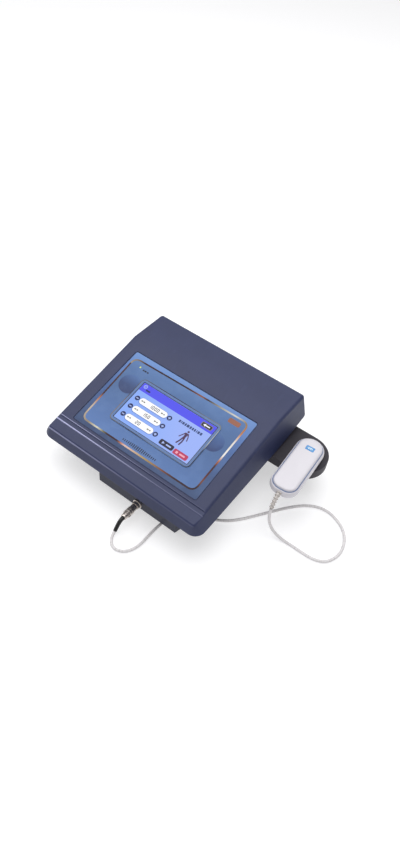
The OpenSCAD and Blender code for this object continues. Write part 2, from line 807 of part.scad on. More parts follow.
// The rocker stands tilted to its off side; it swings on its pin through twice the tilt
module power_rocker() {
    color([0.06, 0.06, 0.07]) placed() translate([switch_x, ped_back - 1, switch_z])
        rotate([rocker_tilt, 0, 0])
        difference() {
            union() {
                intersection() {
                    translate([-rocker_size[0] / 2, 0, 0]) rotate([0, 90, 0])
                        cylinder(r = rocker_r, h = rocker_size[0], $fn = 64);
                    translate([-rocker_size[0] / 2, -4, -4.4]) cube([rocker_size[0], 7.4, 8.8]);
                }
            }
            translate([-rocker_size[0] / 2 - 1, 7.2, 0]) rotate([0, 90, 0])
                cylinder(r = 4.2, h = rocker_size[0] + 2, $fn = 64);
            translate([-rocker_size[0] / 2 - 1, 0, 0]) rotate([0, 90, 0])
                cylinder(r = rocker_pin_r + rocker_pin_fit, h = rocker_size[0] + 2, $fn = 32);
        }
}

module rocker_pin() {
    color("silver") placed() translate([switch_x - 8.7, ped_back - 1, switch_z]) rotate([0, 90, 0])
        cylinder(r = rocker_pin_r, h = 17.4, $fn = 32);
}

module fuse_holder() {
    color([0.10, 0.10, 0.11]) placed() translate([fuse_x, ped_back, fuse_z]) facing_back() difference() {
        union() {
            cylinder(r = 9, h = 2, $fn = 64);
            translate([0, 0, -30]) cylinder(r = fuse_r, h = 30 + eps, $fn = 64);
        }
        translate([0, 0, -27]) cylinder(r = 4.6, h = 30, $fn = 48);
    }
}

module fuse_link() {
    color([0.88, 0.90, 0.92]) placed() translate([fuse_x, ped_back - 26, fuse_z]) facing_back() {
        cylinder(r = 2.6, h = 5, $fn = 32);
        translate([0, 0, 5 - eps]) cylinder(r = 2.3, h = 10 + 2 * eps, $fn = 32);
        translate([0, 0, 15]) cylinder(r = 2.6, h = 5, $fn = 32);
    }
}

module fuse_cap() {
    color([0.08, 0.08, 0.09]) placed() translate([fuse_x, ped_back + 2.3, fuse_z]) facing_back()
        difference() {
        union() {
            cylinder(r = fuse_cap_r, h = 7, $fn = 64);
            translate([0, 0, -8]) cylinder(r = 4.2, h = 8 + eps, $fn = 48);
        }
        translate([-fuse_cap_r, -0.8, 5.6]) cube([2 * fuse_cap_r, 1.6, 4]);
        translate([0, 0, -9]) cylinder(r = 2.9, h = 8, $fn = 32);
        for (i = [0:11]) {
            rotate([0, 0, i * 30]) translate([fuse_cap_r + 0.5, 0, 1.2]) cylinder(r = 0.9, h = 8, $fn = 16);
        }
    }
}

// Probe holder

module holder_outline(inset) {
    polygon(concat(
        [[ped_half_w + gap, holder_arm_front + inset], [holder_x, holder_arm_front + inset]],
        [for (p = arc([holder_x, holder_y], holder_r - inset, -90, 90, 32)) if (p[0] > holder_x + 0.01) p],
        [[holder_x, holder_arm_back - inset], [ped_half_w + gap, holder_arm_back - inset]]));
}

module probe_holder() {
    z0 = holder_top - holder_t;
    color([0.23, 0.22, 0.26]) placed() {
        difference() {
            union() {
                translate([0, 0, z0 + 1.5]) linear_extrude(holder_t - 1.5) holder_outline(0);
                translate([0, 0, z0]) linear_extrude(1.6) holder_outline(1.5);
            }
            translate([head_x, head_y, cup_floor_z]) cylinder(r = cup_r, h = 30, $fn = 96);
            translate([head_x, head_y, holder_top - 1.5]) rotate_extrude($fn = 96)
                polygon([[cup_r - 1, 0], [cup_r, 0], [cup_r + 3, 3], [cup_r - 1, 3]]);
            translate([ped_half_w + 5, holder_arm_front + 4, z0 - 1])
                cube([36, 2 * holder_r - 8, holder_t - 2.5]);
            for (y = holder_bolt_y) {
                translate([ped_half_w - 1, y, holder_bolt_z]) rotate([0, 90, 0])
                    cylinder(r = 2.2, h = 8, $fn = 32);
            }
        }
    }
}

module holder_liner() {
    color([0.10, 0.10, 0.11]) placed() translate([head_x, head_y, cup_floor_z]) difference() {
        cylinder(r = cup_r - 0.2, h = liner_t, $fn = 96);
        translate([0, 0, -1]) cylinder(r = 8, h = 8, $fn = 48);
    }
}

module holder_screws() {
    color("silver") placed() {
        for (y = holder_bolt_y) {
            translate([ped_half_w + 5, y, holder_bolt_z]) rotate([0, 90, 0]) pan_screw(1.95, 14, 3.8, 2.4);
        }
    }
}

module holder_nuts() {
    color("silver") placed() {
        for (y = holder_bolt_y) {
            translate([ped_half_w - wall - 3.2, y, holder_bolt_z]) rotate([0, 90, 0]) difference() {
                cylinder(r = 4, h = 3.2, $fn = 6);
                translate([0, 0, -1]) cylinder(r = 2, h = 6, $fn = 32);
            }
        }
    }
}

// Handset

// One thin slice of the handset's outline
module slice(inset, z) {
    translate([0, 0, z]) linear_extrude(0.1) polygon(paddle(inset));
}

module handset_shell() {
    color([0.90, 0.89, 0.92]) placed() on_handset() difference() {
        hull() {
            slice(5, handset_z);
            slice(1.6, handset_z + 2.2);
            slice(0.2, handset_z + 5.5);
            slice(0, handset_z + 8);
            slice(0.6, handset_z + 11.5);
            slice(1.8, shell_top_z - 0.1);
        }
        hull() {
            slice(5 + skin, handset_z + skin);
            slice(0.2 + skin, handset_z + 6.5);
            slice(1.8 + skin, shell_top_z + 2);
        }
        translate([0, 0, handset_z - 1]) cylinder(r = 17.2, h = 6, $fn = 64);
        translate([0, -handset_tail - 2, handset_z + 9.5]) rotate([-90, 0, 0])
            cylinder(r = 4, h = 8, $fn = 32);
        for (p = handset_screw_at) {
            translate([p[0], p[1], handset_z - 1]) cylinder(r = 1.45, h = 10, $fn = 24);
            translate([p[0], p[1], handset_z - 1]) cylinder(r = 2.7, h = 2.2, $fn = 32);
        }
    }
}

handset_screw_at = [[-12, -36], [12, -36], [-12, -86], [12, -86]];

module handset_gasket() {
    color([0.50, 0.58, 0.72]) placed() on_handset() translate([0, 0, shell_top_z]) linear_extrude(gasket_t)
        difference() {
            polygon(paddle(2.1));
            polygon(paddle(4.2));
        }
}

module handset_top() {
    color([0.94, 0.93, 0.95]) placed() on_handset() {
        difference() {
            hull() {
                slice(2.6, cover_z);
                slice(2.8, cover_z + 1.6);
                slice(4, handset_top_z - 0.8);
                slice(6.2, handset_top_z - 0.1);
            }
            hull() {
                slice(2.6 + skin, cover_z - 1);
                slice(4 + skin, cover_z + 1.4);
            }
            translate([1, -3, handset_top_z - 0.5]) plate(14.4, 9.4, 1.7, 0, 2);
        }
        for (p = handset_screw_at) {
            difference() {
                translate([p[0], p[1], handset_z + 8])
                    cylinder(r = 2.6, h = cover_z + 1.6 - handset_z - 8, $fn = 32);
                translate([p[0], p[1], handset_z + 7]) cylinder(r = 1.2, h = 7, $fn = 24);
            }
        }
    }
}

module handset_badge() {
    color([0.25, 0.60, 0.84]) placed() on_handset() translate([1, -3, handset_top_z - 0.5])
        plate(14, 9, 1.5, 0, 0.5);
}

module handset_screws() {
    color("silver") placed() on_handset() {
        for (p = handset_screw_at) {
            translate([p[0], p[1], handset_z + 1.2]) rotate([180, 0, 0]) pan_screw(1.2, 11, 2.4, 1.1);
        }
    }
}

module treatment_head() {
    color([0.78, 0.79, 0.81]) placed() on_handset() difference() {
        translate([0, 0, head_face_z]) rotate_extrude($fn = 96) polygon([[0, 0], [head_d / 2 - 0.6, 0],
            [head_d / 2, 0.6], [head_d / 2, 10.5], [head_d / 2 - 2.2, head_drop - 0.3],
                [17, head_drop - 0.3],
            [17, head_drop + 4.5], [0, head_drop + 4.5]]);
        translate([0, 0, head_face_z + 2.2]) cylinder(r = 14.5, h = 40, $fn = 96);
    }
}

module head_seal() {
    color([0.16, 0.16, 0.17]) placed() on_handset() translate([0, 0, handset_z - 0.3]) difference() {
        cylinder(r = 18.2, h = 0.3, $fn = 96);
        translate([0, 0, -1]) cylinder(r = 17.1, h = 3, $fn = 96);
    }
}

module piezo_disc() {
    color([0.86, 0.84, 0.78]) placed() on_handset() translate([0, 0, head_face_z + 2.2])
        cylinder(r = 12.7, h = 2, $fn = 64);
}

module contact_spring() {
    color("goldenrod") placed() on_handset() translate([0, 0, head_face_z + 4.2]) rotate_extrude($fn = 48)
        polygon([[3.6, 0], [6, 0], [4.4, 3.4], [6, 6.8], [4.4, 10.4], [3.4, 10.4], [4.8, 6.8], [3.2, 3.4]]);
}

module handset_board() {
    color([0.06, 0.36, 0.20]) placed() on_handset() {
        translate([-9, -76, handset_z + 6.4]) cube([18, 84, 1.2]);
        translate([-5, -50, handset_z + 7.5]) cube([10, 14, 2]);
        translate([-6, -68, handset_z + 7.5]) cube([12, 5, 3]);
    }
}

module strain_relief() {
    color([0.81, 0.79, 0.77]) placed() tube(relief_points, relief_radii, 12);
}

module probe_cable() {
    color([0.88, 0.86, 0.87]) placed() tube(smooth(cable_route), cable_d / 2, 10);
}

top_shell();
bottom_shell();
fascia_overlay();
display_bezel();
touch_glass();
lcd_panel();
display_board();
display_standoffs();
power_led();
display_ribbon();
main_board();
board_standoffs();
board_screws();
buzzer();
power_supply();
transformer();
amplifier_board();
heat_sink();
rf_lead();
mains_wires();
output_socket();
socket_nut();
mains_inlet();
inlet_pins();
switch_frame();
power_rocker();
rocker_pin();
fuse_holder();
fuse_link();
fuse_cap();
rating_plate();
rubber_feet();
foot_screws();
case_screws();
probe_holder();
holder_liner();
holder_screws();
holder_nuts();
handset_top();
handset_gasket();
handset_shell();
handset_badge();
treatment_head();
head_seal();
piezo_disc();
contact_spring();
handset_board();
handset_screws();
strain_relief();
probe_cable();
plug_body();
coupling_nut();
plug_boot();
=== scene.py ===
"""Looks for a desk-top ultrasound therapy unit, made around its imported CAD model.

Sizes are millimetres in the console's own frame, with x across from its middle, y back from the front lip
and z up from the desk. CONSOLE, PANEL and HANDSET carry points from a local frame to the model's own frame.
"""

import logging
import math
from dataclasses import dataclass, field
from enum import Enum
from typing import Any, Callable, Iterable, Optional, Sequence, Union

import bmesh
import bpy
from mathutils import Matrix, Vector


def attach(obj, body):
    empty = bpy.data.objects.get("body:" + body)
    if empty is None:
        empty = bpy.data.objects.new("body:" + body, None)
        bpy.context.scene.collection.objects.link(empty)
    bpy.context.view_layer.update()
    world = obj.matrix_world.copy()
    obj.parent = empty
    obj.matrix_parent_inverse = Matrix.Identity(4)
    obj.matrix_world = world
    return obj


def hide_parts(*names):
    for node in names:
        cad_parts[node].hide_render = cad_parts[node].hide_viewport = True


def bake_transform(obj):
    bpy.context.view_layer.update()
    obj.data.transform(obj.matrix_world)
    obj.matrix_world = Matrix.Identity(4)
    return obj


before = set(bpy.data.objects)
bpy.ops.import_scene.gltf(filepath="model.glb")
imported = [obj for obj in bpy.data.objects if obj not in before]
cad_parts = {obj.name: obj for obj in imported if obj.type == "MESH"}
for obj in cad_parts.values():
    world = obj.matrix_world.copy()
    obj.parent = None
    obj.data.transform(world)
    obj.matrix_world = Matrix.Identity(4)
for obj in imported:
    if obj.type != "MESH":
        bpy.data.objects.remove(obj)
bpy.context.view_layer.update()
LOG = logging.getLogger("ultrasound_unit")

Colour = tuple[float, float, float]
Flat = Sequence[float]
Points = list[tuple[float, float]]
Outline = Callable[[float], Points]
Stops = tuple[tuple[float, str], ...]

MM = 0.001
LIP_HEIGHT = 77.3
PANEL_SLOPE = math.radians(13.2)
ORIGIN = (38.5, 148.0)
CONSOLE = Matrix.Scale(MM, 4) @ Matrix.Translation((-ORIGIN[0], -ORIGIN[1], 0.0))
PANEL = CONSOLE @ Matrix.Translation((0.0, 0.0, LIP_HEIGHT)) @ Matrix.Rotation(PANEL_SLOPE, 4, "X")
HANDSET = CONSOLE @ Matrix.Translation((204.0, 236.0, 0.0)) @ Matrix.Rotation(math.radians(3.9), 4, "Z")
FACING_BACK = Matrix.Rotation(math.radians(-90.0), 4, "X")
FILM_CENTRE = (0.0, 116.5)
SCREEN_CENTRE = (2.0, 115.5)
TURNED_STEPS = 64
EDGE_STEPS = 3
CORNER_PULL = 0.93
CORNER_EASE = 0.07
MERGED_WITHIN = 1e-6
FLAT_WITHIN = math.radians(0.6)
BEVELLED_OVER = math.radians(32.0)


def linear(code: str) -> Colour:
    """The linear colour of a six-digit screen colour code."""
    parts = [int(code[i:i + 2], 16) / 255.0 for i in (0, 2, 4)]
    return tuple(c / 12.92 if c <= 0.04045 else ((c + 0.055) / 1.055) ** 2.4 for c in parts)


# Node trees


class Wire:
    """A node's output that takes part in ordinary arithmetic, which adds Math nodes."""

    def __init__(self, graph: "Graph", socket: bpy.types.NodeSocket) -> None:
        """Wraps a socket of graph."""
        self.graph = graph
        self.socket = socket

    def math(self, operation: str, first: "Value", second: "Value" = 0.0) -> "Wire":
        """The result of one Math node."""
        return self.graph.node("ShaderNodeMath", {"operation": operation}, {0: first, 1: second})

    def __add__(self, other: "Value") -> "Wire":
        """self + other"""
        return self.math("ADD", self, other)

    __radd__ = __add__

    def __sub__(self, other: "Value") -> "Wire":
        """self - other"""
        return self.math("SUBTRACT", self, other)

    def __rsub__(self, other: "Value") -> "Wire":
        """other - self"""
        return self.math("SUBTRACT", other, self)

    def __mul__(self, other: "Value") -> "Wire":
        """self * other"""
        return self.math("MULTIPLY", self, other)

    __rmul__ = __mul__

    def __truediv__(self, other: "Value") -> "Wire":
        """self / other"""
        return self.math("DIVIDE", self, other)


Value = Union[Wire, float, int, Sequence[float], str, bool]


class Graph:
    """A node tree that is built through one method for every kind of node."""

    def __init__(self, tree: bpy.types.NodeTree) -> None:
        """Starts on an empty tree."""
        self.tree = tree
        tree.nodes.clear()

    def node(self, kind: str, settings: Optional[dict[str, Any]] = None,
             inputs: Optional[dict[Union[int, str], Value]] = None,
             output: Optional[Union[int, str]] = 0) -> Wire:
        """Adds a node.

        Args:
            kind: the node's type.
            settings: its properties, and the stops of a colour ramp, which are set first.
            inputs: a value or a wire for each input, by name, identifier or place.
            output: the name or place of the output that is wanted, or None for a node that has none.

        Returns:
            The wanted output, or the first input of a node that has none.
        """
        made = self.tree.nodes.new(kind)
        for key, value in (settings or {}).items():
            if key == "stops":
                self.set_stops(made.color_ramp, value)
            else:
                setattr(made, key, value)
        for key, value in (inputs or {}).items():
            self.join(value, self.find(made.inputs, key))
        return Wire(self, made.inputs[0] if output is None else self.find(made.outputs, output))

    @staticmethod
    def find(sockets: Any, key: Union[int, str]) -> bpy.types.NodeSocket:
        """The socket with that place, identifier or name.

        Args:
            sockets: a node's inputs or outputs.
            key: its place, identifier or name.

        Returns:
            The socket.
        """
        if isinstance(key, int):
            return sockets[key]
        for socket in sockets:
            if socket.identifier == key:
                return socket
        return sockets[key]

    @staticmethod
    def set_stops(ramp: bpy.types.ColorRamp, stops: Sequence[tuple[float, Colour]]) -> None:
        """Gives a colour ramp its stops.

        Args:
            ramp: the ramp of a new node.
            stops: each stop's place from 0 to 1 and its linear colour.
        """
        while len(ramp.elements) > 1:
            ramp.elements.remove(ramp.elements[-1])
        ramp.elements[0].position = stops[0][0]
        ramp.elements[0].color = (*stops[0][1], 1.0)
        for position, colour in stops[1:]:
            ramp.elements.new(position).color = (*colour, 1.0)

    def join(self, value: Value, socket: bpy.types.NodeSocket) -> None:
        """Links a wire to a socket, or sets the socket's own value.

        Args:
            value: a wire, a number, a colour or a vector.
            socket: the input that takes it.
        """
        if isinstance(value, Wire):
            self.tree.links.new(value.socket, socket)
        elif socket.type == "RGBA":
            socket.default_value = (*value[:3], 1.0)
        else:
            socket.default_value = value


class SurfaceGraph(Graph):
    """The node tree of a material, with the textures that the finishes share."""

    def __init__(self, name: str) -> None:
        """Starts a material of that name."""
        self.material = bpy.data.materials.new(name)
        self.material.use_nodes = True
        super().__init__(self.material.node_tree)
        self.coords = self.node("ShaderNodeTexCoord", output="Object")

    def noise(self, size_mm: float, detail: float = 2.0, stretch: Sequence[float] = (1.0, 1.0, 1.0)) -> Wire:
        """Noise whose features are about size_mm across, drawn out along an axis by a small stretch."""
        place = self.node("ShaderNodeMapping", {}, {"Vector": self.coords, "Scale": tuple(stretch)})
        return self.node("ShaderNodeTexNoise", {},
                         {"Vector": place, "Scale": 1.0 / (size_mm * MM), "Detail": detail})

    def mix(self, share: Value, first: Value, second: Value, blend: str = "MIX") -> Wire:
        """Two colours mixed by share."""
        return self.node("ShaderNodeMix", {"data_type": "RGBA", "blend_type": blend, "clamp_factor": True},
                         {"Factor_Float": share, "A_Color": first, "B_Color": second}, "Result_Color")

    def ramp(self, value: Value, stops: Sequence[tuple[float, Colour]]) -> Wire:
        """Colours along a value from 0 to 1."""
        return self.node("ShaderNodeValToRGB", {"stops": stops}, {"Fac": value})

    def spread(self, value: Value, low: float, high: float) -> Wire:
        """0 where value is low, 1 where it is high, and smooth between."""
        return self.node("ShaderNodeMapRange", {"interpolation_type": "SMOOTHSTEP"},
                         {"Value": value, "From Min": low, "From Max": high})

    def bump(self, height: Value, depth_mm: float) -> Wire:
        """A relief of that depth."""
        return self.node("ShaderNodeBump", {}, {"Height": height, "Distance": depth_mm * MM, "Strength": 1.0})

    def panel_height(self) -> Wire:
        """How far up the operating panel a point lies, in millimetres from the lip.

        Returns:
            The distance along the panel's slope.
        """
        up = (0.0, math.cos(PANEL_SLOPE), math.sin(PANEL_SLOPE))
        start = ORIGIN[1] * MM * up[1] - LIP_HEIGHT * MM * up[2]
        along = self.node("ShaderNodeVectorMath", {"operation": "DOT_PRODUCT"},
                          {0: self.coords, 1: up}, "Value")
        return (along + start) * (1.0 / MM)

    def axis(self, name: str) -> Wire:
        """A point's place along one of the model's axes, in millimetres."""
        return self.node("ShaderNodeSeparateXYZ", {}, {0: self.coords}, name) * (1.0 / MM)

    def across(self) -> Wire:
        """How far across the console a point lies, in millimetres from its middle."""
        return self.axis("X") + ORIGIN[0]

    def back_from_lip(self) -> Wire:
        """How far back from the lip a point lies, in millimetres."""
        return self.axis("Y") + ORIGIN[1]

    def height(self) -> Wire:
        """A point's height above the desk, in millimetres."""
        return self.axis("Z")

    def surface(self, **inputs: Value) -> bpy.types.Material:
        """Ends the material in a Principled shader with these inputs, an underscore standing for a space.

        Args:
            inputs: a value or a wire for each of the shader's inputs.

        Returns:
            The finished material.
        """
        named = {key.replace("_", " "): value for key, value in inputs.items()}
        shader = self.node("ShaderNodeBsdfPrincipled", {}, named)
        self.node("ShaderNodeOutputMaterial", {}, {"Surface": shader}, None)
        return self.material


# Finishes


@dataclass(frozen=True)
class Finish:
    """What a surface is made of. Each finish is turned into one material."""

    name: str

    def material(self) -> bpy.types.Material:
        """The finish's material, made once."""
        label = f"{self.name}_finish"
        return bpy.data.materials.get(label) or self.paint(SurfaceGraph(label))

    def paint(self, g: SurfaceGraph) -> bpy.types.Material:
        """Builds the material's nodes.

        Args:
            g: the material's graph, still empty.

        Returns:
            The finished material.
        """
        raise NotImplementedError


@dataclass(frozen=True)
class Plain(Finish):
    """A finish of one main colour."""

    colour: str
    roughness: float


@dataclass(frozen=True)
class Moulded(Plain):
    """Moulded plastic, lacquer or rubber, with a fine grain and slight changes of tone."""

    grain_mm: float = 0.35
    depth_mm: float = 0.012
    tone: float = 0.10
    specular: float = 0.5
    coat: float = 0.0

    def tint(self, g: SurfaceGraph, colour: Value) -> Value:
        """The plastic's colour, which some finishes change in places."""
        return colour

    def paint(self, g: SurfaceGraph) -> bpy.types.Material:
        """Builds the material's nodes.

        Args:
            g: the material's graph, still empty.

        Returns:
            The finished material.
        """
        base = linear(self.colour)
        grain = g.noise(self.grain_mm, 3.0)
        patch = g.noise(38.0, 3.0)
        smear = g.noise(9.0, 4.0, (1.0, 0.25, 1.0))
        colour = g.mix(g.spread(patch, 0.35, 0.65) * self.tone, base, tuple(0.55 * c for c in base))
        pale = tuple(min(1.0, 1.5 * c + 0.01) for c in base)
        colour = g.mix(g.spread(smear, 0.56, 0.74) * self.tone, colour, pale)
        rough = self.roughness + (grain - 0.5) * 0.12 + (smear - 0.5) * 0.10
        return g.surface(Base_Color=self.tint(g, colour), Roughness=rough, Specular_IOR_Level=self.specular,
                         Coat_Weight=self.coat, Coat_Roughness=0.12, Normal=g.bump(grain, self.depth_mm))


@dataclass(frozen=True)
class SteppedCase(Moulded):
    """The upper case's plastic, lightened by painted highlights along the lip's edges, most of all on the
    left.
    """

    highlight_colour: str = "B4B6DC"
    edges: tuple[tuple[float, float, float, float], ...] = ()

    def tint(self, g: SurfaceGraph, colour: Value) -> Value:
        """Paints highlights on the plastic along each edge, given as its y, its z, its half width and its
        strength.

        Args:
            g: the material's graph.
            colour: the plastic's colour.

        Returns:
            The colour with the painted highlights in it.
        """
        y, z = g.back_from_lip(), g.height()
        # Painted highlights: the lighter lines stand in for the lip's steps and front edge catching the
        # light, and fade towards the right.
        highlight_leftward = g.spread(g.across(), 90.0, -150.0) * 0.86 + 0.14
        for at_y, at_z, reach, strength in self.edges:
            off = (y - at_y) * (y - at_y) + (z - at_z) * (z - at_z)
            line = g.spread(off, reach * reach, 0.16 * reach * reach)
            colour = g.mix(line * highlight_leftward * strength, colour, linear(self.highlight_colour))
        return colour


@dataclass(frozen=True)
class Metal(Plain):
    """Bare or plated metal, with turning marks drawn out along one axis and a few dull patches."""

    marks: tuple[float, float, float] = (1.0, 1.0, 1.0)
    tarnish: str = "6A6258"
    worn: float = 0.35

    def paint(self, g: SurfaceGraph) -> bpy.types.Material:
        """Builds the material's nodes.

        Args:
            g: the material's graph, still empty.

        Returns:
            The finished material.
        """
        streaks = g.noise(0.5, 4.0, self.marks)
        dull = g.spread(g.noise(4.0, 5.0), 0.48, 0.72)
        colour = g.mix(dull * self.worn, linear(self.colour), linear(self.tarnish))
        rough = self.roughness + (streaks - 0.5) * 0.18 + dull * 0.14
        return g.surface(Base_Color=colour, Roughness=rough, Metallic=1.0, Normal=g.bump(streaks, 0.006))


@dataclass(frozen=True)
class Printed(Finish):
    """Ink on the back of a clear film: a run of colours up the panel, between two heights."""

    roughness: float
    stops: Stops
    low: float = 35.0
    high: float = 198.0
    sideways: float = 0.0
    side_colour: str = "44608F"
    specular: float = 0.35

    def paint(self, g: SurfaceGraph) -> bpy.types.Material:
        """Builds the material's nodes.

        Args:
            g: the material's graph, still empty.

        Returns:
            The finished material.
        """
        up = (g.panel_height() - self.low) * (1.0 / (self.high - self.low))
        colour = g.ramp(up, [(at, linear(code)) for at, code in self.stops])
        away = g.spread(g.across(), -125.0, 125.0)
        colour = g.mix(away * self.sideways, colour, linear(self.side_colour))
        grain = g.noise(0.22, 2.0)
        cloud = g.noise(24.0, 3.0)
        colour = g.mix(g.spread(cloud, 0.42, 0.66) * 0.05, colour, linear("8FB0E0"))
        rough = self.roughness + (grain - 0.5) * 0.14 + (cloud - 0.5) * 0.10
        return g.surface(Base_Color=colour, Roughness=rough, Specular_IOR_Level=self.specular,
                         Normal=g.bump(grain, 0.004))


@dataclass(frozen=True)
class FoilLine(Finish):
    """A printed metallic line whose colours change along its length."""

    roughness: float
    stops: Stops

    def paint(self, g: SurfaceGraph) -> bpy.types.Material:
        """Builds the material's nodes.

        Args:
            g: the material's graph, still empty.

        Returns:
            The finished material.
        """
        along = g.node("ShaderNodeAttribute", {"attribute_name": "along"}, output="Fac")
        fleck = g.noise(0.8, 3.0)
        colour = g.ramp(along, [(at, linear(code)) for at, code in self.stops])
        colour = g.mix(g.spread(fleck, 0.55, 0.8) * 0.14, colour, linear("C9B79A"))
        return g.surface(Base_Color=colour, Roughness=self.roughness + (fleck - 0.5) * 0.2, Metallic=0.12,
                         Specular_IOR_Level=0.25)


@dataclass(frozen=True)
class Lit(Plain):
    """A part of the display's picture, which shines through the glass."""

    glow: float = 1.0
    fade: Optional[str] = None

    def paint(self, g: SurfaceGraph) -> bpy.types.Material:
        """Builds the material's nodes.

        Args:
            g: the material's graph, still empty.

        Returns:
            The finished material.
        """
        shine: Value = linear(self.colour)
        if self.fade:
            drift = g.spread(g.across() + g.panel_height() * 0.5, 0.0, 110.0)
            shine = g.mix(drift, shine, linear(self.fade))
        cells = g.noise(0.5, 1.0)
        return g.surface(Base_Color=(0.004, 0.004, 0.006), Roughness=self.roughness + (cells - 0.5) * 0.04,
                         Specular_IOR_Level=0.18, Emission_Color=shine, Emission_Strength=self.glow)


@dataclass(frozen=True)
class Jacket(Plain):
    """The soft sheath of a cable, slightly grey and matt, with scuffs along its run."""

    grey: str = "A9A6A8"

    def paint(self, g: SurfaceGraph) -> bpy.types.Material:
        """Builds the material's nodes.

        Args:
            g: the material's graph, still empty.

        Returns:
            The finished material.
        """
        along = g.node("ShaderNodeAttribute", {"attribute_name": "along"}, output="Fac")
        bands = g.node("ShaderNodeTexNoise", {"noise_dimensions": "1D"}, {"W": along * 60.0, "Detail": 3.0})
        scuff = g.noise(1.2, 4.0)
        colour = g.mix(g.spread(bands, 0.45, 0.75) * 0.45, linear(self.colour), linear(self.grey))
        colour = g.mix(g.spread(scuff, 0.6, 0.8) * 0.2, colour, linear(self.grey))
        return g.surface(Base_Color=colour, Roughness=self.roughness + (scuff - 0.5) * 0.14,
                         Specular_IOR_Level=0.45, Normal=g.bump(scuff, 0.01))


@dataclass(frozen=True)
class Backdrop(Plain):
    """The studio's bright paper, which is lit through from below so that shadows on it stay faint."""

    glow: float = 0.52

    def paint(self, g: SurfaceGraph) -> bpy.types.Material:
        """Builds the material's nodes.

        Args:
            g: the material's graph, still empty.

        Returns:
            The finished material.
        """
        fibre = g.noise(2.0, 2.0)
        return g.surface(Base_Color=linear(self.colour), Roughness=self.roughness + (fibre - 0.5) * 0.05,
                         Specular_IOR_Level=0.1, Emission_Color=(1.0, 1.0, 1.0), Emission_Strength=self.glow)


@dataclass(frozen=True)
class CircuitBoard(Plain):
    """Green solder mask over copper tracks, with tinned pads."""

    def paint(self, g: SurfaceGraph) -> bpy.types.Material:
        """Builds the material's nodes.

        Args:
            g: the material's graph, still empty.

        Returns:
            The finished material.
        """
        tracks = g.node("ShaderNodeTexVoronoi", {"distance": "MANHATTAN", "feature": "F2"},
                        {"Vector": g.coords, "Scale": 260.0})
        pads = g.node("ShaderNodeTexVoronoi", {"feature": "F1"}, {"Vector": g.coords, "Scale": 190.0})
        on_track = g.spread(tracks, 0.62, 0.66)
        on_pad = 1.0 - g.spread(pads, 0.16, 0.2)
        colour = g.mix(on_track * 0.6, linear(self.colour), linear("2F8A4C"))
        colour = g.mix(on_pad, colour, linear("C9CCD0"))
        return g.surface(Base_Color=colour, Roughness=self.roughness - on_pad * 0.15, Metallic=on_pad,
                         Normal=g.bump(on_track * 0.5 + on_pad, 0.03))


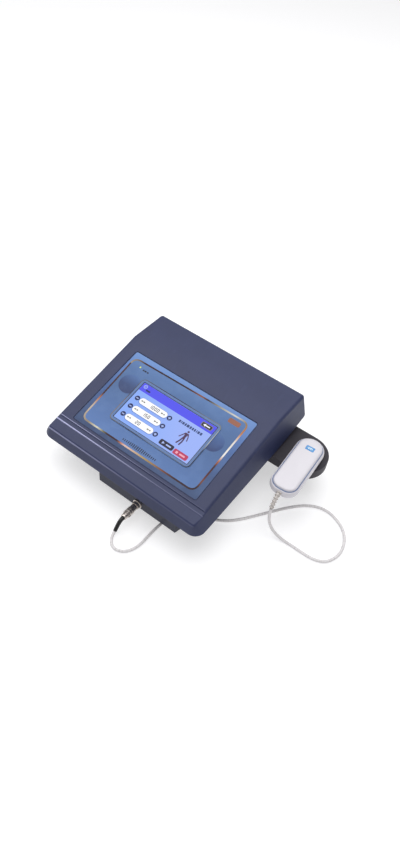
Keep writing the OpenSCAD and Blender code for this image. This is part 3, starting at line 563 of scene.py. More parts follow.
class Skin(Enum):
    """The finishes of the unit."""

    # The edges of CASE are painted highlights along the lip's two steps and its front edge.
    CASE = SteppedCase("case_blue", "2C3355", 0.48, grain_mm=0.45, depth_mm=0.014, tone=0.14, specular=0.36,
                       edges=((20.9, 80.9, 1.35, 1.0), (29.0, 84.0, 1.0, 0.6), (0.6, 75.4, 1.7, 0.5)))
    BASE = Moulded("case_dark", "2A2D40", 0.5, grain_mm=0.5, depth_mm=0.02, tone=0.16, specular=0.35)
    FILM = Printed("fascia_film", 0.36, (
        (0.0, "1E3760"), (0.22, "24406E"), (0.55, "34568E"), (0.8, "4A6EAA"), (1.0, "5F83BC")), sideways=0.12)
    # A painted shadow: dark navy for the shade along the film's edge in its recess.
    FILM_EDGE_SHADOW = Moulded("fascia_edge", "16224A", 0.4, tone=0.1, specular=0.3)
    FIELD = Printed("fascia_field", 0.36, (
        (0.0, "4A6CA4"), (0.3, "426296"), (0.62, "395987"), (0.86, "406294"), (1.0, "4A6DA0")),
        low=46.0, high=187.0, sideways=0.25, side_colour="3A5C8E")
    LEFT_DISC = Printed("fascia_disc_left", 0.36, (
        (0.0, "16295A"), (0.45, "1F3868"), (1.0, "3C5E94")), low=118.0, high=158.0)
    RIGHT_DISC = Printed("fascia_disc_right", 0.36, (
        (0.0, "142C60"), (0.5, "1F3F76"), (1.0, "395B90")), low=114.0, high=148.0)
    FOIL = FoilLine("fascia_foil", 0.34, (
        (0.0, "8E7F66"), (0.04, "2E0C12"), (0.11, "1E060C"), (0.17, "280A10"), (0.205, "7A4630"),
        (0.22, "1E080E"), (0.265, "989488"), (0.295, "B8B6B0"), (0.325, "7E6A48"), (0.355, "A8683A"),
        (0.38, "C8C2BA"), (0.42, "D2D0CC"), (0.435, "A05A38"), (0.45, "2A080E"), (0.48, "4A1A18"),
        (0.495, "6A3A28"), (0.51, "240810"), (0.57, "2A0A0E"), (0.6, "6A3C28"), (0.65, "98804E"),
        (0.703, "C8A89C"), (0.715, "A86850"), (0.725, "2A080C"), (0.755, "2A080C"), (0.765, "5E5A40"),
        (0.785, "C0BCA8"), (0.81, "80725C"), (0.86, "B0A090"), (0.885, "9A5C3A"), (0.9, "2A080E"),
        (0.98, "3A1C18")))
    BEZEL = Moulded("bezel_grey", "506C9C", 0.4, grain_mm=0.3, depth_mm=0.006, tone=0.12, specular=0.4)
    BEZEL_LINE = FoilLine("bezel_line", 0.36, (
        (0.0, "565A58"), (0.08, "1A1416"), (0.2, "0E0C10"), (0.26, "505860"), (0.34, "6E7062"),
        (0.36, "8E9490"), (0.41, "A4A6A4"), (0.44, "141016"), (0.5, "0C0A10"), (0.54, "46505E"),
        (0.66, "5A6678"), (0.72, "1A1A1E"), (0.78, "2A2C32"), (0.83, "6A665C"), (0.9, "70604E"),
        (0.95, "1C1214"), (1.0, "50524C")))
    # Partly painted shade: the glass's black border, also standing in for the shade under the surround's
    # inner edge.
    BLACK_BORDER_AND_SHADE = Moulded("display_edge_and_shade", "0A0A10", 0.3, tone=0.05, specular=0.3)
    SCREEN = Lit("display_background", "8DB2FF", 0.16, glow=0.92, fade="A0B8FF")
    HEADER = Lit("display_header", "5152F4", 0.16, glow=0.92)
    FIELD_WHITE = Lit("display_white", "FFFFFF", 0.16)
    FIELD_SHADE = Lit("display_shade", "6E90E0", 0.16, glow=0.8)
    INK_NAVY = Lit("display_navy", "1E2A66", 0.16, glow=0.7)
    INK_DARK = Lit("display_dark", "2A2440", 0.16, glow=0.7)
    INK_OLIVE = Lit("display_olive", "8A8A80", 0.16, glow=0.8)
    INK_LIGHT = Lit("display_light", "B4C8FF", 0.16, glow=0.9)
    INK_HEADING = Lit("display_heading", "3A4E86", 0.16, glow=0.8)
    INK_MAROON = Lit("display_maroon", "5A3A5E", 0.16, glow=0.8)
    BUTTON_RED = Lit("display_crimson", "C23A62", 0.16, glow=0.9)
    BUTTON_PINK = Lit("display_pink", "FFB0C0", 0.16, glow=0.9)
    PRINT_NAVY = Moulded("print_navy", "101830", 0.4, tone=0.1, specular=0.3)
    PRINT_BRONZE = Moulded("print_bronze", "8A5038", 0.38, tone=0.2, specular=0.4)
    LAMP = Moulded("led_lens", "D2E03A", 0.2, tone=0.1, coat=0.6)
    NICKEL = Metal("nickel_plating", "D2CAC4", 0.27, marks=(0.2, 4.0, 0.2))
    STEEL = Metal("steel_screws", "9A9DA2", 0.32)
    BRASS = Metal("brass_parts", "C29A52", 0.3, tarnish="7A5A2C")
    ALUMINIUM = Metal("sink_aluminium", "AEB2B8", 0.4, marks=(0.1, 3.0, 1.0))
    HEAD = Metal("head_metal", "C6C9CE", 0.24, marks=(1.0, 1.0, 6.0), worn=0.2)
    LAMINATION = Metal("transformer_steel", "8A5A30", 0.45, marks=(0.1, 0.1, 5.0))
    BLACK = Moulded("black_plastic", "17171B", 0.42, tone=0.15)
    RUBBER = Moulded("foot_rubber", "121214", 0.7, grain_mm=0.8, depth_mm=0.04, tone=0.2, specular=0.3)
    HOLDER = Moulded("holder_plastic", "2B2731", 0.55, grain_mm=0.5, depth_mm=0.03, tone=0.2, specular=0.4)
    WHITE = Moulded("handset_white", "D2CFD6", 0.34, grain_mm=0.6, depth_mm=0.006, tone=0.05, coat=0.25)
    GASKET = Moulded("gasket_blue", "6C7CA0", 0.5, tone=0.12)
    BADGE = Moulded("badge_blue", "1F80C2", 0.25, tone=0.1, coat=0.6)
    BADGE_MARK = Moulded("badge_mark", "D8EEF8", 0.3, tone=0.05)
    CABLE = Jacket("cable_jacket", "DCD9DA", 0.42, "B4B1B3")
    RELIEF = Moulded("relief_grey", "C6C0BC", 0.5, grain_mm=0.5, depth_mm=0.02, tone=0.15)
    BOOT = Moulded("boot_black", "0A0A0C", 0.4, grain_mm=0.5, depth_mm=0.02, tone=0.15)
    BOARD = CircuitBoard("circuit_board", "0B4A2A", 0.36)
    LCD = Metal("lcd_metal", "7E8288", 0.42)
    RIBBON = Moulded("ribbon_film", "C6BFAE", 0.4, tone=0.2)
    WIRE = Moulded("wire_jacket", "6A3A1C", 0.45, tone=0.2)
    GLASS = Moulded("fuse_glass", "C6CED6", 0.12, tone=0.1, coat=0.8)
    LABEL = Moulded("label_film", "B4B6BA", 0.38, grain_mm=0.4, depth_mm=0.008, tone=0.08)
    CERAMIC = Moulded("piezo_ceramic", "CFC8B6", 0.6, tone=0.1)
    FLOOR = Backdrop("studio_floor", "C8C8CA", 0.8)


# Shapes


def placed(name: str, data: bpy.types.ID) -> bpy.types.Object:
    """A new object in the scene that holds data."""
    made = bpy.data.objects.new(name, data)
    bpy.context.scene.collection.objects.link(made)
    return made


def rounded_box(width: float, height: float, radius: float, centre: Flat, steps: int = 8) -> Outline:
    """The outline of a rounded rectangle, as a function of how far it is moved in.

    Args:
        width: its size along x.
        height: its size along y.
        radius: its corners' radius.
        centre: where its middle is.
        steps: how many pieces a corner has.

    Returns:
        The outline.
    """
    def at(inset: float) -> Points:
        """The outline's points, moved in by inset."""
        r = max(radius - inset, 0.02)
        w, h = width / 2 - inset - r, height / 2 - inset - r
        points = []
        for k, (sx, sy) in enumerate(((1, 1), (-1, 1), (-1, -1), (1, -1))):
            for i in range(steps + 1):
                a = math.radians(90.0 * (k + i / steps))
                points.append((centre[0] + sx * w + r * math.cos(a), centre[1] + sy * h + r * math.sin(a)))
        return points
    return at


def circle(radius: float, centre: Flat, steps: int = 32) -> Outline:
    """The outline of a circle, as a function of how far it is moved in.

    Args:
        radius: its radius.
        centre: where its middle is.
        steps: how many sides it has.

    Returns:
        The outline.
    """
    def at(inset: float) -> Points:
        """The outline's points, moved in by inset."""
        r = radius - inset
        return [(centre[0] + r * math.cos(a), centre[1] + r * math.sin(a)) for a in full_turn(steps)]
    return at


def full_turn(steps: int) -> list[float]:
    """The angles of a turn in equal steps, from 0 up to the last before 360 degrees."""
    return [2 * math.pi * i / steps for i in range(steps)]


def block(width: float, height: float, radius: float, centre: Flat, steps: int = 3) -> Points:
    """The points of a rounded rectangle."""
    return rounded_box(width, height, radius, centre, steps)(0.0)


def disc(radius: float, centre: Flat, steps: int = 32) -> Points:
    """The points of a circle."""
    return circle(radius, centre, steps)(0.0)


def turned(outline: Points, centre: Flat, angle: float) -> Points:
    """Points turned about centre by an angle in degrees."""
    c, s = math.cos(math.radians(angle)), math.sin(math.radians(angle))
    return [(centre[0] + c * (x - centre[0]) - s * (y - centre[1]),
             centre[1] + s * (x - centre[0]) + c * (y - centre[1])) for x, y in outline]


def curve_through(points: Sequence[Sequence[float]], steps: int) -> list[Vector]:
    """A smooth curve through points, with steps pieces between each two.

    Args:
        points: the points that the curve meets.
        steps: how many pieces lie between two of them.

    Returns:
        The curve's points, both ends among them.
    """
    p = [Vector(q) for q in points]
    made = []
    for i in range(len(p) - 1):
        a, b, c, d = p[max(i - 1, 0)], p[i], p[i + 1], p[min(i + 2, len(p) - 1)]
        for k in range(steps):
            t = k / steps
            made.append(0.5 * (2 * b + (c - a) * t + (2 * a - 5 * b + 4 * c - d) * t * t
                               + (3 * b - a - 3 * c + d) * t ** 3))
    return made + [p[-1]]


def rounded_path(corners: Sequence[Flat], radius: float, steps: int = 10) -> list[Vector]:
    """A closed path through corners that are rounded off, from the start of the first side back to itself.

    Args:
        corners: the corners in order.
        radius: how far they are rounded off.
        steps: how many pieces a corner has.

    Returns:
        The path's points, the last on the first.
    """
    path = []
    for i, corner in enumerate(corners):
        here = Vector(corner)
        before = (Vector(corners[i - 1]) - here).normalized()
        after = (Vector(corners[(i + 1) % len(corners)]) - here).normalized()
        reach = radius / math.tan(before.angle(after) / 2)
        start, end = here + before * reach, here + after * reach
        for k in range(steps + 1):
            t = k / steps
            path.append(start * (1 - t) ** 2 + here * 2 * t * (1 - t) * CORNER_PULL
                        + (start + end) * CORNER_EASE * t * (1 - t) + end * t * t)
    return path + [path[0]]


class Solid:
    """A closed mesh that is put together from rings of points, in millimetres in a local frame."""

    def __init__(self, name: str, place: Matrix = CONSOLE) -> None:
        """Starts an empty mesh that place carries to the model's own frame.

        Args:
            name: the name of the object.
            place: what carries the local frame to the model's own.
        """
        self.name = name
        self.place = place
        self.points: list[Vector] = []
        self.faces: list[list[int]] = []
        self.along: list[float] = []

    def ring(self, points: Iterable[Sequence[float]], along: float = 0.0) -> list[int]:
        """Adds points and returns their numbers.

        Args:
            points: the points of one ring.
            along: their share of a path's length.

        Returns:
            The points' numbers.
        """
        first = len(self.points)
        self.points += [Vector(p) for p in points]
        self.along += [along] * (len(self.points) - first)
        return list(range(first, len(self.points)))

    def skin(self, rings: Sequence[list[int]], caps: bool = True, closed: bool = False) -> "Solid":
        """Joins rings, each with as many points as the next, and closes the ends.

        Args:
            rings: the numbers of each ring's points.
            caps: whether the first and last ring are filled.
            closed: whether the last ring is joined to the first.

        Returns:
            The solid itself.
        """
        pairs = list(zip(rings, rings[1:])) + ([(rings[-1], rings[0])] if closed else [])
        for a, b in pairs:
            self.faces += [[a[i - 1], a[i], b[i], b[i - 1]] for i in range(len(a))]
        if caps and not closed:
            self.faces += [list(reversed(rings[0])), list(rings[-1])]
        return self

    def loft(self, levels: Sequence[tuple[Points, float]]) -> "Solid":
        """A body through flat outlines, each at its height."""
        return self.skin([self.ring([(x, y, z) for x, y in outline]) for outline, z in levels])

    def plate(self, outline: Outline, low: float, high: float, edge: float = 0.0) -> "Solid":
        """A plate between two heights, with its top edge rounded by edge.

        Args:
            outline: the plate's outline.
            low: its underside.
            high: its top.
            edge: how far its top edge is rounded.

        Returns:
            The solid itself.
        """
        levels = [(outline(0.0), low), (outline(0.0), high - edge)]
        if edge:
            for i in range(1, EDGE_STEPS + 1):
                a = math.pi / 2 * i / EDGE_STEPS
                levels.append((outline(edge * (1 - math.cos(a))), high - edge * (1 - math.sin(a))))
        return self.loft(levels)

    def flat(self, outline: Sequence[Flat], low: float, high: float) -> "Solid":
        """A thin plate of any outline."""
        return self.loft([(list(outline), low), (list(outline), high)])

    def band(self, outer: Outline, inner: Outline, low: float, high: float, edge: float = 0.0) -> "Solid":
        """A plate with a hole, whose upper edges are rounded by edge.

        Args:
            outer: the plate's outline.
            inner: the hole's outline, with as many points.
            low: its underside.
            high: its top.
            edge: how far its upper edges are rounded.

        Returns:
            The solid itself.
        """
        outside = [(outer(0.0), low), (outer(0.0), high - edge)]
        inside = [(inner(0.0), high - edge), (inner(0.0), low)]
        eased = [(outer(edge * 0.3), high - edge * 0.3), (outer(edge), high),
                 (inner(-edge), high), (inner(-edge * 0.3), high - edge * 0.3)] if edge else []
        rows = outside + eased + inside
        return self.skin([self.ring([(x, y, z) for x, y in outline]) for outline, z in rows], closed=True)

    def revolve(self, profile: Sequence[Flat], closed: bool = False) -> "Solid":
        """A turned body from (radius, height) pairs about the local frame's z axis.

        Args:
            profile: the pairs from one end to the other.
            closed: whether the body is a ring with a bore.

        Returns:
            The solid itself.
        """
        turns = full_turn(TURNED_STEPS)
        rings = [self.ring([(r * math.cos(a), r * math.sin(a), z) for a in turns]) for r, z in profile]
        return self.skin(rings, closed=closed)

    def tube(self, path: Sequence[Vector], radius: Union[float, Callable[[float], float]],
             sides: int = 16) -> "Solid":
        """A round tube along a path, whose radius may change with the share of its length.

        Args:
            path: the tube's middle line.
            radius: its radius, or its radius at a share of its length.
            sides: how many sides it has.

        Returns:
            The solid itself.
        """
        size = radius if callable(radius) else (lambda share: radius)
        total = sum((b - a).length for a, b in zip(path, path[1:]))
        done, rings = 0.0, []
        side = (path[1] - path[0]).orthogonal().normalized()
        for i, p in enumerate(path):
            heading = (path[min(i + 1, len(path) - 1)] - path[max(i - 1, 0)]).normalized()
            side = (side - heading * side.dot(heading)).normalized()
            other = heading.cross(side)
            done += (p - path[i - 1]).length if i else 0.0
            share = done / total
            points = [p + size(share) * (math.cos(a) * side + math.sin(a) * other) for a in full_turn(sides)]
            rings.append(self.ring(points, share))
        return self.skin(rings)

    def ribbon(self, path: Sequence[Vector], width: float, low: float, high: float) -> "Solid":
        """A flat line of that width along a path in the local frame's plane.

        Args:
            path: the line's middle, closed where its last point is its first.
            width: its width.
            low: its underside.
            high: its top.

        Returns:
            The solid itself.
        """
        total = sum((b - a).length for a, b in zip(path, path[1:]))
        closed = (path[0] - path[-1]).length < MERGED_WITHIN
        done, rings = 0.0, []
        for i, p in enumerate(path):
            before = path[i - 1] if i else (path[-2] if closed else p)
            after = path[i + 1] if i < len(path) - 1 else (path[1] if closed else p)
            heading = (after - before).normalized()
            left = Vector((-heading.y, heading.x)) * width / 2
            done += (p - path[i - 1]).length if i else 0.0
            rings.append(self.ring([(p.x + left.x, p.y + left.y, low), (p.x + left.x, p.y + left.y, high),
                                    (p.x - left.x, p.y - left.y, high), (p.x - left.x, p.y - left.y, low)],
                                   done / total))
        return self.skin(rings)

    def object(self) -> bpy.types.Object:
        """The finished object, at the origin, with its faces pointing outwards.

        Returns:
            The object, in the scene.
        """
        mesh = bpy.data.meshes.new(self.name)
        mesh.from_pydata([self.place @ p for p in self.points], [], self.faces)
        along = mesh.attributes.new("along", "FLOAT", "POINT")
        along.data.foreach_set("value", self.along)
        work = bmesh.new()
        work.from_mesh(mesh)
        bmesh.ops.recalc_face_normals(work, faces=work.faces)
        work.to_mesh(mesh)
        work.free()
        return placed(self.name, mesh)


# Finishing pieces


def settle(made: bpy.types.Object) -> bpy.types.Object:
    """Applies an object's modifiers to its mesh.

    Args:
        made: the object.

    Returns:
        The same object.
    """
    bpy.context.view_layer.update()
    mesh = bpy.data.meshes.new_from_object(made.evaluated_get(bpy.context.evaluated_depsgraph_get()))
    made.modifiers.clear()
    made.data = mesh
    return made


def soften(made: bpy.types.Object, bevel_mm: float = 0.0, crease: float = 35.0,
           segments: int = 2) -> bpy.types.Object:
    """Rounds an object's sharp edges a little and shades it smoothly between them.

    Args:
        made: the object.
        bevel_mm: how wide the rounded edges are, or 0 for none.
        crease: the angle in degrees over which an edge stays sharp.
        segments: how many faces round an edge.

    Returns:
        The same object.
    """
    if bevel_mm:
        bevel = made.modifiers.new("edges", "BEVEL")
        bevel.width = bevel_mm * MM
        bevel.segments = segments
        bevel.limit_method = "ANGLE"
        bevel.angle_limit = BEVELLED_OVER
        settle(made)
    made.data.polygons.foreach_set("use_smooth", [True] * len(made.data.polygons))
    made.data.set_sharp_from_angle(angle=math.radians(crease))
    weighted = made.modifiers.new("shading", "WEIGHTED_NORMAL")
    weighted.keep_sharp = True
    return settle(made)


def carve(made: bpy.types.Object, cutters: Sequence[bpy.types.Object]) -> bpy.types.Object:
    """Cuts the cutters out of an object and removes them.

    Args:
        made: the object.
        cutters: the shapes that are cut out of it.

    Returns:
        The same object.
    """
    for cutter in cutters:
        cut = made.modifiers.new("cut", "BOOLEAN")
        cut.operation = "DIFFERENCE"
        cut.solver = "EXACT"
        cut.object = cutter
        settle(made)
        bpy.data.objects.remove(cutter)
    return made


@dataclass
class Piece:
    """One visible piece: what it is made of, what it moves with and which CAD nodes it stands for."""

    made: bpy.types.Object
    skin: Skin
    slot: str
    body: str = "root"
    replaces: tuple[str, ...] = ()

    def finish(self) -> bpy.types.Object:
        """Dresses the piece and puts it on its body.

        Returns:
            The piece's object.
        """
        self.made.data.materials.clear()
        self.made.data.materials.append(self.skin.value.material())
        self.made.data.polygons.foreach_set("material_index", [0] * len(self.made.data.polygons))
        if self.replaces:
            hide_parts(*self.replaces)
        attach(self.made, self.body)
        LOG.info("%s on %s, %d faces", self.made.name, self.body, len(self.made.data.polygons))
        return self.made


def refined(node: str, bevel_mm: float, segments: int) -> bpy.types.Object:
    """A copy of a CAD node's mesh, merged and with its edges rounded.

    Args:
        node: the node's name.
        bevel_mm: how wide the rounded edges are, or 0 for none.
        segments: how many faces round an edge.

    Returns:
        The copy, in the scene.
    """
    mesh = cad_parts[node].data.copy()
    made = placed(f"{node}_part", mesh)
    work = bmesh.new()
    work.from_mesh(mesh)
    bmesh.ops.remove_doubles(work, verts=work.verts, dist=MERGED_WITHIN)
    bmesh.ops.dissolve_limit(work, angle_limit=FLAT_WITHIN, verts=work.verts, edges=work.edges)
    work.to_mesh(mesh)
    work.free()
    return soften(made, bevel_mm, segments=segments)


def keep_shape(node: str, bevel_mm: float, skin: Skin, slot: str, body: str = "root",
               segments: int = 2) -> bpy.types.Object:
    """Puts a copy of a CAD node, with its edges rounded, in the node's place."""
    return Piece(refined(node, bevel_mm, segments), skin, slot, body, (node,)).finish()


# Geometry Nodes


class Layout(Enum):
    """How a pattern lays its copies out."""

    RING = "ring"
    ALONG = "along"
    COIL = "coil"


class Pattern(Graph):
    """A Geometry Nodes tree that repeats a shape or winds a wire, with named inputs for its sizes.

    RING copies the object's own mesh Count times round the z axis at Radius. ALONG follows the object's own
    line with Count rings of a wire of radius Wire, from First to Last in radius. COIL winds a wire of radius
    Wire, Turns times, from Radius at the foot to Top at Height.
    """

    INPUTS: dict[Layout, tuple[str, ...]] = {
        Layout.RING: ("Count", "Radius"),
        Layout.ALONG: ("Count", "First", "Last", "Wire"),
        Layout.COIL: ("Turns", "Radius", "Top", "Height", "Wire"),
    }

    def __init__(self, layout: Layout, material: bpy.types.Material) -> None:
        """Builds the tree for a layout, which ends in plain faces of one material.

        Args:
            layout: how the copies are laid out.
            material: what the faces are made of.
        """
        super().__init__(bpy.data.node_groups.new(f"pattern_{layout.value}", "GeometryNodeTree"))
        self.tree.interface.new_socket("Geometry", in_out="INPUT", socket_type="NodeSocketGeometry")
        for label in self.INPUTS[layout]:
            kind = "NodeSocketInt" if label == "Count" else "NodeSocketFloat"
            self.tree.interface.new_socket(label, in_out="INPUT", socket_type=kind)
        self.tree.interface.new_socket("Geometry", in_out="OUTPUT", socket_type="NodeSocketGeometry")
        self.source = self.tree.nodes.new("NodeGroupInput")
        geometry = getattr(self, layout.value)()
        plain = self.node("GeometryNodeRealizeInstances", {}, {"Geometry": geometry})
        dressed = self.node("GeometryNodeSetMaterial", {}, {"Geometry": plain, "Material": material})
        self.node("NodeGroupOutput", {}, {"Geometry": dressed}, None)

    def size(self, label: str) -> Wire:
        """One of the tree's named inputs."""
        return Wire(self, self.source.outputs[label])

    def hoop(self, label: str, steps: int) -> Wire:
        """A circle whose radius is one of the named inputs."""
        return self.node("GeometryNodeCurvePrimitiveCircle", {},
                         {"Resolution": steps, "Radius": self.size(label)})

    def ring(self) -> Wire:
        """Copies round the z axis, each turned to face outwards.

        Returns:
            The copies.
        """
        spots = self.node("GeometryNodeMeshCircle", {},
                          {"Vertices": self.size("Count"), "Radius": self.size("Radius")})
        turn = self.node("FunctionNodeAlignRotationToVector", {"axis": "X", "pivot_axis": "Z"},
                         {"Vector": self.node("GeometryNodeInputPosition")})
        return self.node("GeometryNodeInstanceOnPoints", {},
                         {"Points": spots, "Instance": self.size("Geometry"), "Rotation": turn})

    def along(self) -> Wire:
        """Rings along the object's own line, square to it, whose size runs from First to Last.

        Returns:
            The rings.
        """
        line = self.node("GeometryNodeMeshToCurve", {}, {"Mesh": self.size("Geometry")})
        spots = self.node("GeometryNodeResampleCurve", {}, {"Curve": line, "Count": self.size("Count")})
        turn = self.node("FunctionNodeAlignRotationToVector", {"axis": "Z"},
                         {"Vector": self.node("GeometryNodeInputTangent")})
        share = self.node("GeometryNodeInputIndex") / (self.size("Count") - 1.0)
        scale = (self.size("First") + (self.size("Last") - self.size("First")) * share) / self.size("First")
        ring = self.node("GeometryNodeCurveToMesh", {},
                         {"Curve": self.hoop("First", 24), "Profile Curve": self.hoop("Wire", 8)})
        return self.node("GeometryNodeInstanceOnPoints", {},
                         {"Points": spots, "Instance": ring, "Rotation": turn, "Scale": scale})

    def coil(self) -> Wire:
        """A wound wire with closed ends."""
        line = self.node("GeometryNodeCurveSpiral", {}, {
            "Resolution": 24, "Rotations": self.size("Turns"), "Start Radius": self.size("Radius"),
            "End Radius": self.size("Top"), "Height": self.size("Height")})
        return self.node("GeometryNodeCurveToMesh", {},
                         {"Curve": line, "Profile Curve": self.hoop("Wire", 8), "Fill Caps": True})

    def run(self, seed: bpy.types.Object, sizes: dict[str, float], place: Matrix) -> bpy.types.Object:
        """Makes the pattern from a seed object in millimetres, and carries the result to its place.

        Args:
            seed: the object whose own mesh is repeated or followed.
            sizes: a value for each named input.
            place: what carries the local frame to the model's own.

        Returns:
            The seed object, which now holds the plain result.
        """
        modifier = seed.modifiers.new("pattern", "NODES")
        modifier.node_group = self.tree
        for item in self.tree.interface.items_tree:
            if item.in_out == "INPUT" and item.name in sizes:
                modifier[item.identifier] = sizes[item.name]
        settle(seed)
        seed.data.transform(place)
        return seed


def patterned(name: str, layout: Layout, skin: Skin, shape: Solid, sizes: dict[str, float],
              place: Matrix) -> bpy.types.Object:
    """A pattern of one small shape, as a plain mesh."""
    shape.name, shape.place = name, Matrix.Identity(4)
    return Pattern(layout, skin.value.material()).run(shape.object(), sizes, place)


def joined(name: str, parts: Sequence[bpy.types.Object]) -> bpy.types.Object:
    """Several objects of one finish and body as one.

    Args:
        name: the name of the whole.
        parts: the objects, which are removed.

    Returns:
        The whole, in the scene.
    """
    work = bmesh.new()
    for part in parts:
        work.from_mesh(part.data)
    mesh = bpy.data.meshes.new(name)
    work.to_mesh(mesh)
    work.free()
    for part in parts:
        bpy.data.objects.remove(part)
    return placed(name, mesh)


# The studio


@dataclass
class Studio:
    """The camera, the soft lights and the pale floor."""

    eye: tuple[float, float, float] = (0.38523, -0.60123, 0.90095)
    right: tuple[float, float, float] = (0.79394825, 0.60298754, 0.07779593)
    up: tuple[float, float, float] = (-0.49943642, 0.57386724, 0.64902978)
    back: tuple[float, float, float] = (0.34671233, -0.55415018, 0.75677483)
    lens_mm: float = 27.743
    floor_half: float = 4.0
    sky: float = 0.5
    lamps: tuple[tuple[str, Flat, Flat, float, float], ...] = (
        ("overhead", (-0.35, 0.35, 1.9), (0.0, 0.0, 0.0), 2.4, 38.0),
        ("left_window", (-1.9, -0.3, 1.1), (0.0, 0.0, 0.1), 0.9, 6.0))

    def camera(self) -> None:
        """Stands the camera where the unit is looked at from."""
        data = bpy.data.cameras.new("camera")
        data.lens = self.lens_mm
        data.clip_start = 0.01
        made = placed("camera", data)
        turn = Matrix((self.right, self.up, self.back)).transposed().to_4x4()
        made.matrix_world = Matrix.Translation(self.eye) @ turn
        bpy.context.scene.camera = made

    def lamp(self, name: str, at: Flat, towards: Flat, size: float, power: float) -> None:
        """Adds a square soft light that faces a point.

        Args:
            name: the light's name.
            at: where it is, in metres.
            towards: the point that it faces.
            size: the length of its side in metres.
            power: its power in watts.
        """
        data = bpy.data.lights.new(name, "AREA")
        data.shape, data.size, data.energy = "SQUARE", size, power
        aim = (Vector(towards) - Vector(at)).to_track_quat("-Z", "Y")
        placed(name, data).matrix_world = Matrix.Translation(at) @ aim.to_matrix().to_4x4()

    def build(self) -> None:
        """Makes the whole studio."""
        self.camera()
        for lamp in self.lamps:
            self.lamp(*lamp)
        world = bpy.data.worlds.new("studio_air")
        world.use_nodes = True
        bpy.context.scene.world = world
        world.node_tree.nodes["Background"].inputs["Color"].default_value = (1.0, 1.0, 1.0, 1.0)
        world.node_tree.nodes["Background"].inputs["Strength"].default_value = self.sky
        bpy.context.scene.view_settings.view_transform = "Standard"
        half = self.floor_half / MM
        floor = Solid("studio_floor", Matrix.Scale(MM, 4))
        floor.flat([(-half, -half), (half, -half), (half, half), (-half, half)], -10.0, -0.05)
        made = floor.object()
        made.data.materials.append(Skin.FLOOR.value.material())


# The probe cable and its ends


@dataclass
class ProbeCable:
    """The cable from the handset to the output socket, with the strain relief and the boot at its ends."""

    radius: float = 2.5
    lift_from: float = 0.014
    lift_to: float = 0.060
    route: tuple[tuple[float, float, float], ...] = (
        (214.1, 112, 61.8), (214.4, 110.6, 53), (215.4, 110, 42), (218, 110, 30), (224, 110.6, 18),
        (234, 111.6, 9), (247, 112.6, 4), (262, 113.6, 2.6), (278, 113.6, 2.6), (294, 114, 2.6),
        (308, 117, 2.6), (319, 124, 2.6), (326, 136, 2.6), (329, 150, 2.6), (327, 166, 2.6),
        (320, 182, 2.6), (308, 195, 2.6), (293, 203, 2.6), (278, 207, 2.6), (263, 206, 2.6),
        (249, 200, 2.6), (235, 189, 2.6), (222, 174, 2.6), (211, 159, 2.6), (201, 144, 2.6),
        (191, 129, 2.6), (181, 114, 2.6), (170, 99, 2.6), (158, 86, 2.6), (144, 76, 2.6),
        (130, 68, 2.6), (115, 61, 2.6), (101, 53, 2.6), (90, 42, 2.6), (83, 28, 2.6),
        (80, 12, 2.6), (79, -4, 2.6), (79, -20, 2.6), (79, -36, 2.6), (76, -50, 2.6),
        (69, -61, 2.6), (58, -67, 2.6), (47, -65.6, 2.7), (39.6, -58.6, 3.3), (36.6, -52.4, 5),
        (35.9, -47, 7.6))
    relief: tuple[tuple[float, float, float], ...] = (
        (210.6, 138.6, 77), (211, 133.4, 77), (211.6, 128, 76.2), (212.5, 121, 73), (213.3, 115.8, 68.4),
        (214, 112.4, 62.6))
    boot: tuple[tuple[float, float, float], ...] = (
        (34, -25.1, 19), (34, -28, 19), (34.1, -32, 18), (34.5, -37, 15), (35.1, -42, 11.4), (35.8, -46.5, 8))

    def ends(self) -> bpy.types.Object:
        """Makes the ribbed strain relief and the boot, and returns the boot.

        Returns:
            The boot, which is on the cable.
        """
        path = curve_through(self.relief, 6)
        core = Solid("relief_core").tube(path, lambda share: 2.8 - 0.1 * share, 20)
        seed = path[6:-2]
        line = bpy.data.meshes.new("relief_ribs")
        line.from_pydata([tuple(p) for p in seed], [(i, i + 1) for i in range(len(seed) - 1)], [])
        ribs = placed("relief_ribs", line)
        Pattern(Layout.ALONG, Skin.RELIEF.value.material()).run(
            ribs, {"Count": 6, "First": 3.3, "Last": 2.9, "Wire": 1.25}, CONSOLE)
        relief = joined("strain_relief_ribbed", [core.object(), ribs])
        Piece(soften(relief, crease=50.0), Skin.RELIEF, "relief_grey", "handset", ("strain_relief",)).finish()

        def taper(share: float) -> float:
            """The boot's radius, which steps in at the cable's end."""
            return 3.55 - 0.45 * share - (0.25 if share > 0.94 else 0.0)

        sleeve = Solid("plug_boot_sleeve").tube(curve_through(self.boot, 6), taper, 24).object()
        return Piece(soften(sleeve, crease=50.0), Skin.BOOT, "boot_black", "root", ("plug_boot",)).finish()

    def build(self, plug_pieces: Sequence[bpy.types.Object]) -> None:
        """Args:
            plug_pieces: the pieces of the plug on its far end; not used.
        """
        boot = self.ends()
        path = curve_through(self.route, 4)
        cable = soften(Solid("probe_cable_jacket").tube(path, self.radius).object(), crease=60.0)
        cable.data.materials.append(Skin.CABLE.value.material())
        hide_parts("probe_cable")
        top, foot = CONSOLE @ path[0], CONSOLE @ path[-1]
        length = sum((b - a).length for a, b in zip(path, path[1:])) * MM
        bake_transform(cable)
        [tuple(CONSOLE @ p) for p in path]
        LOG.info("%s between root and handset, %.3f m, down to %.3f m", cable.name, length, foot.z)


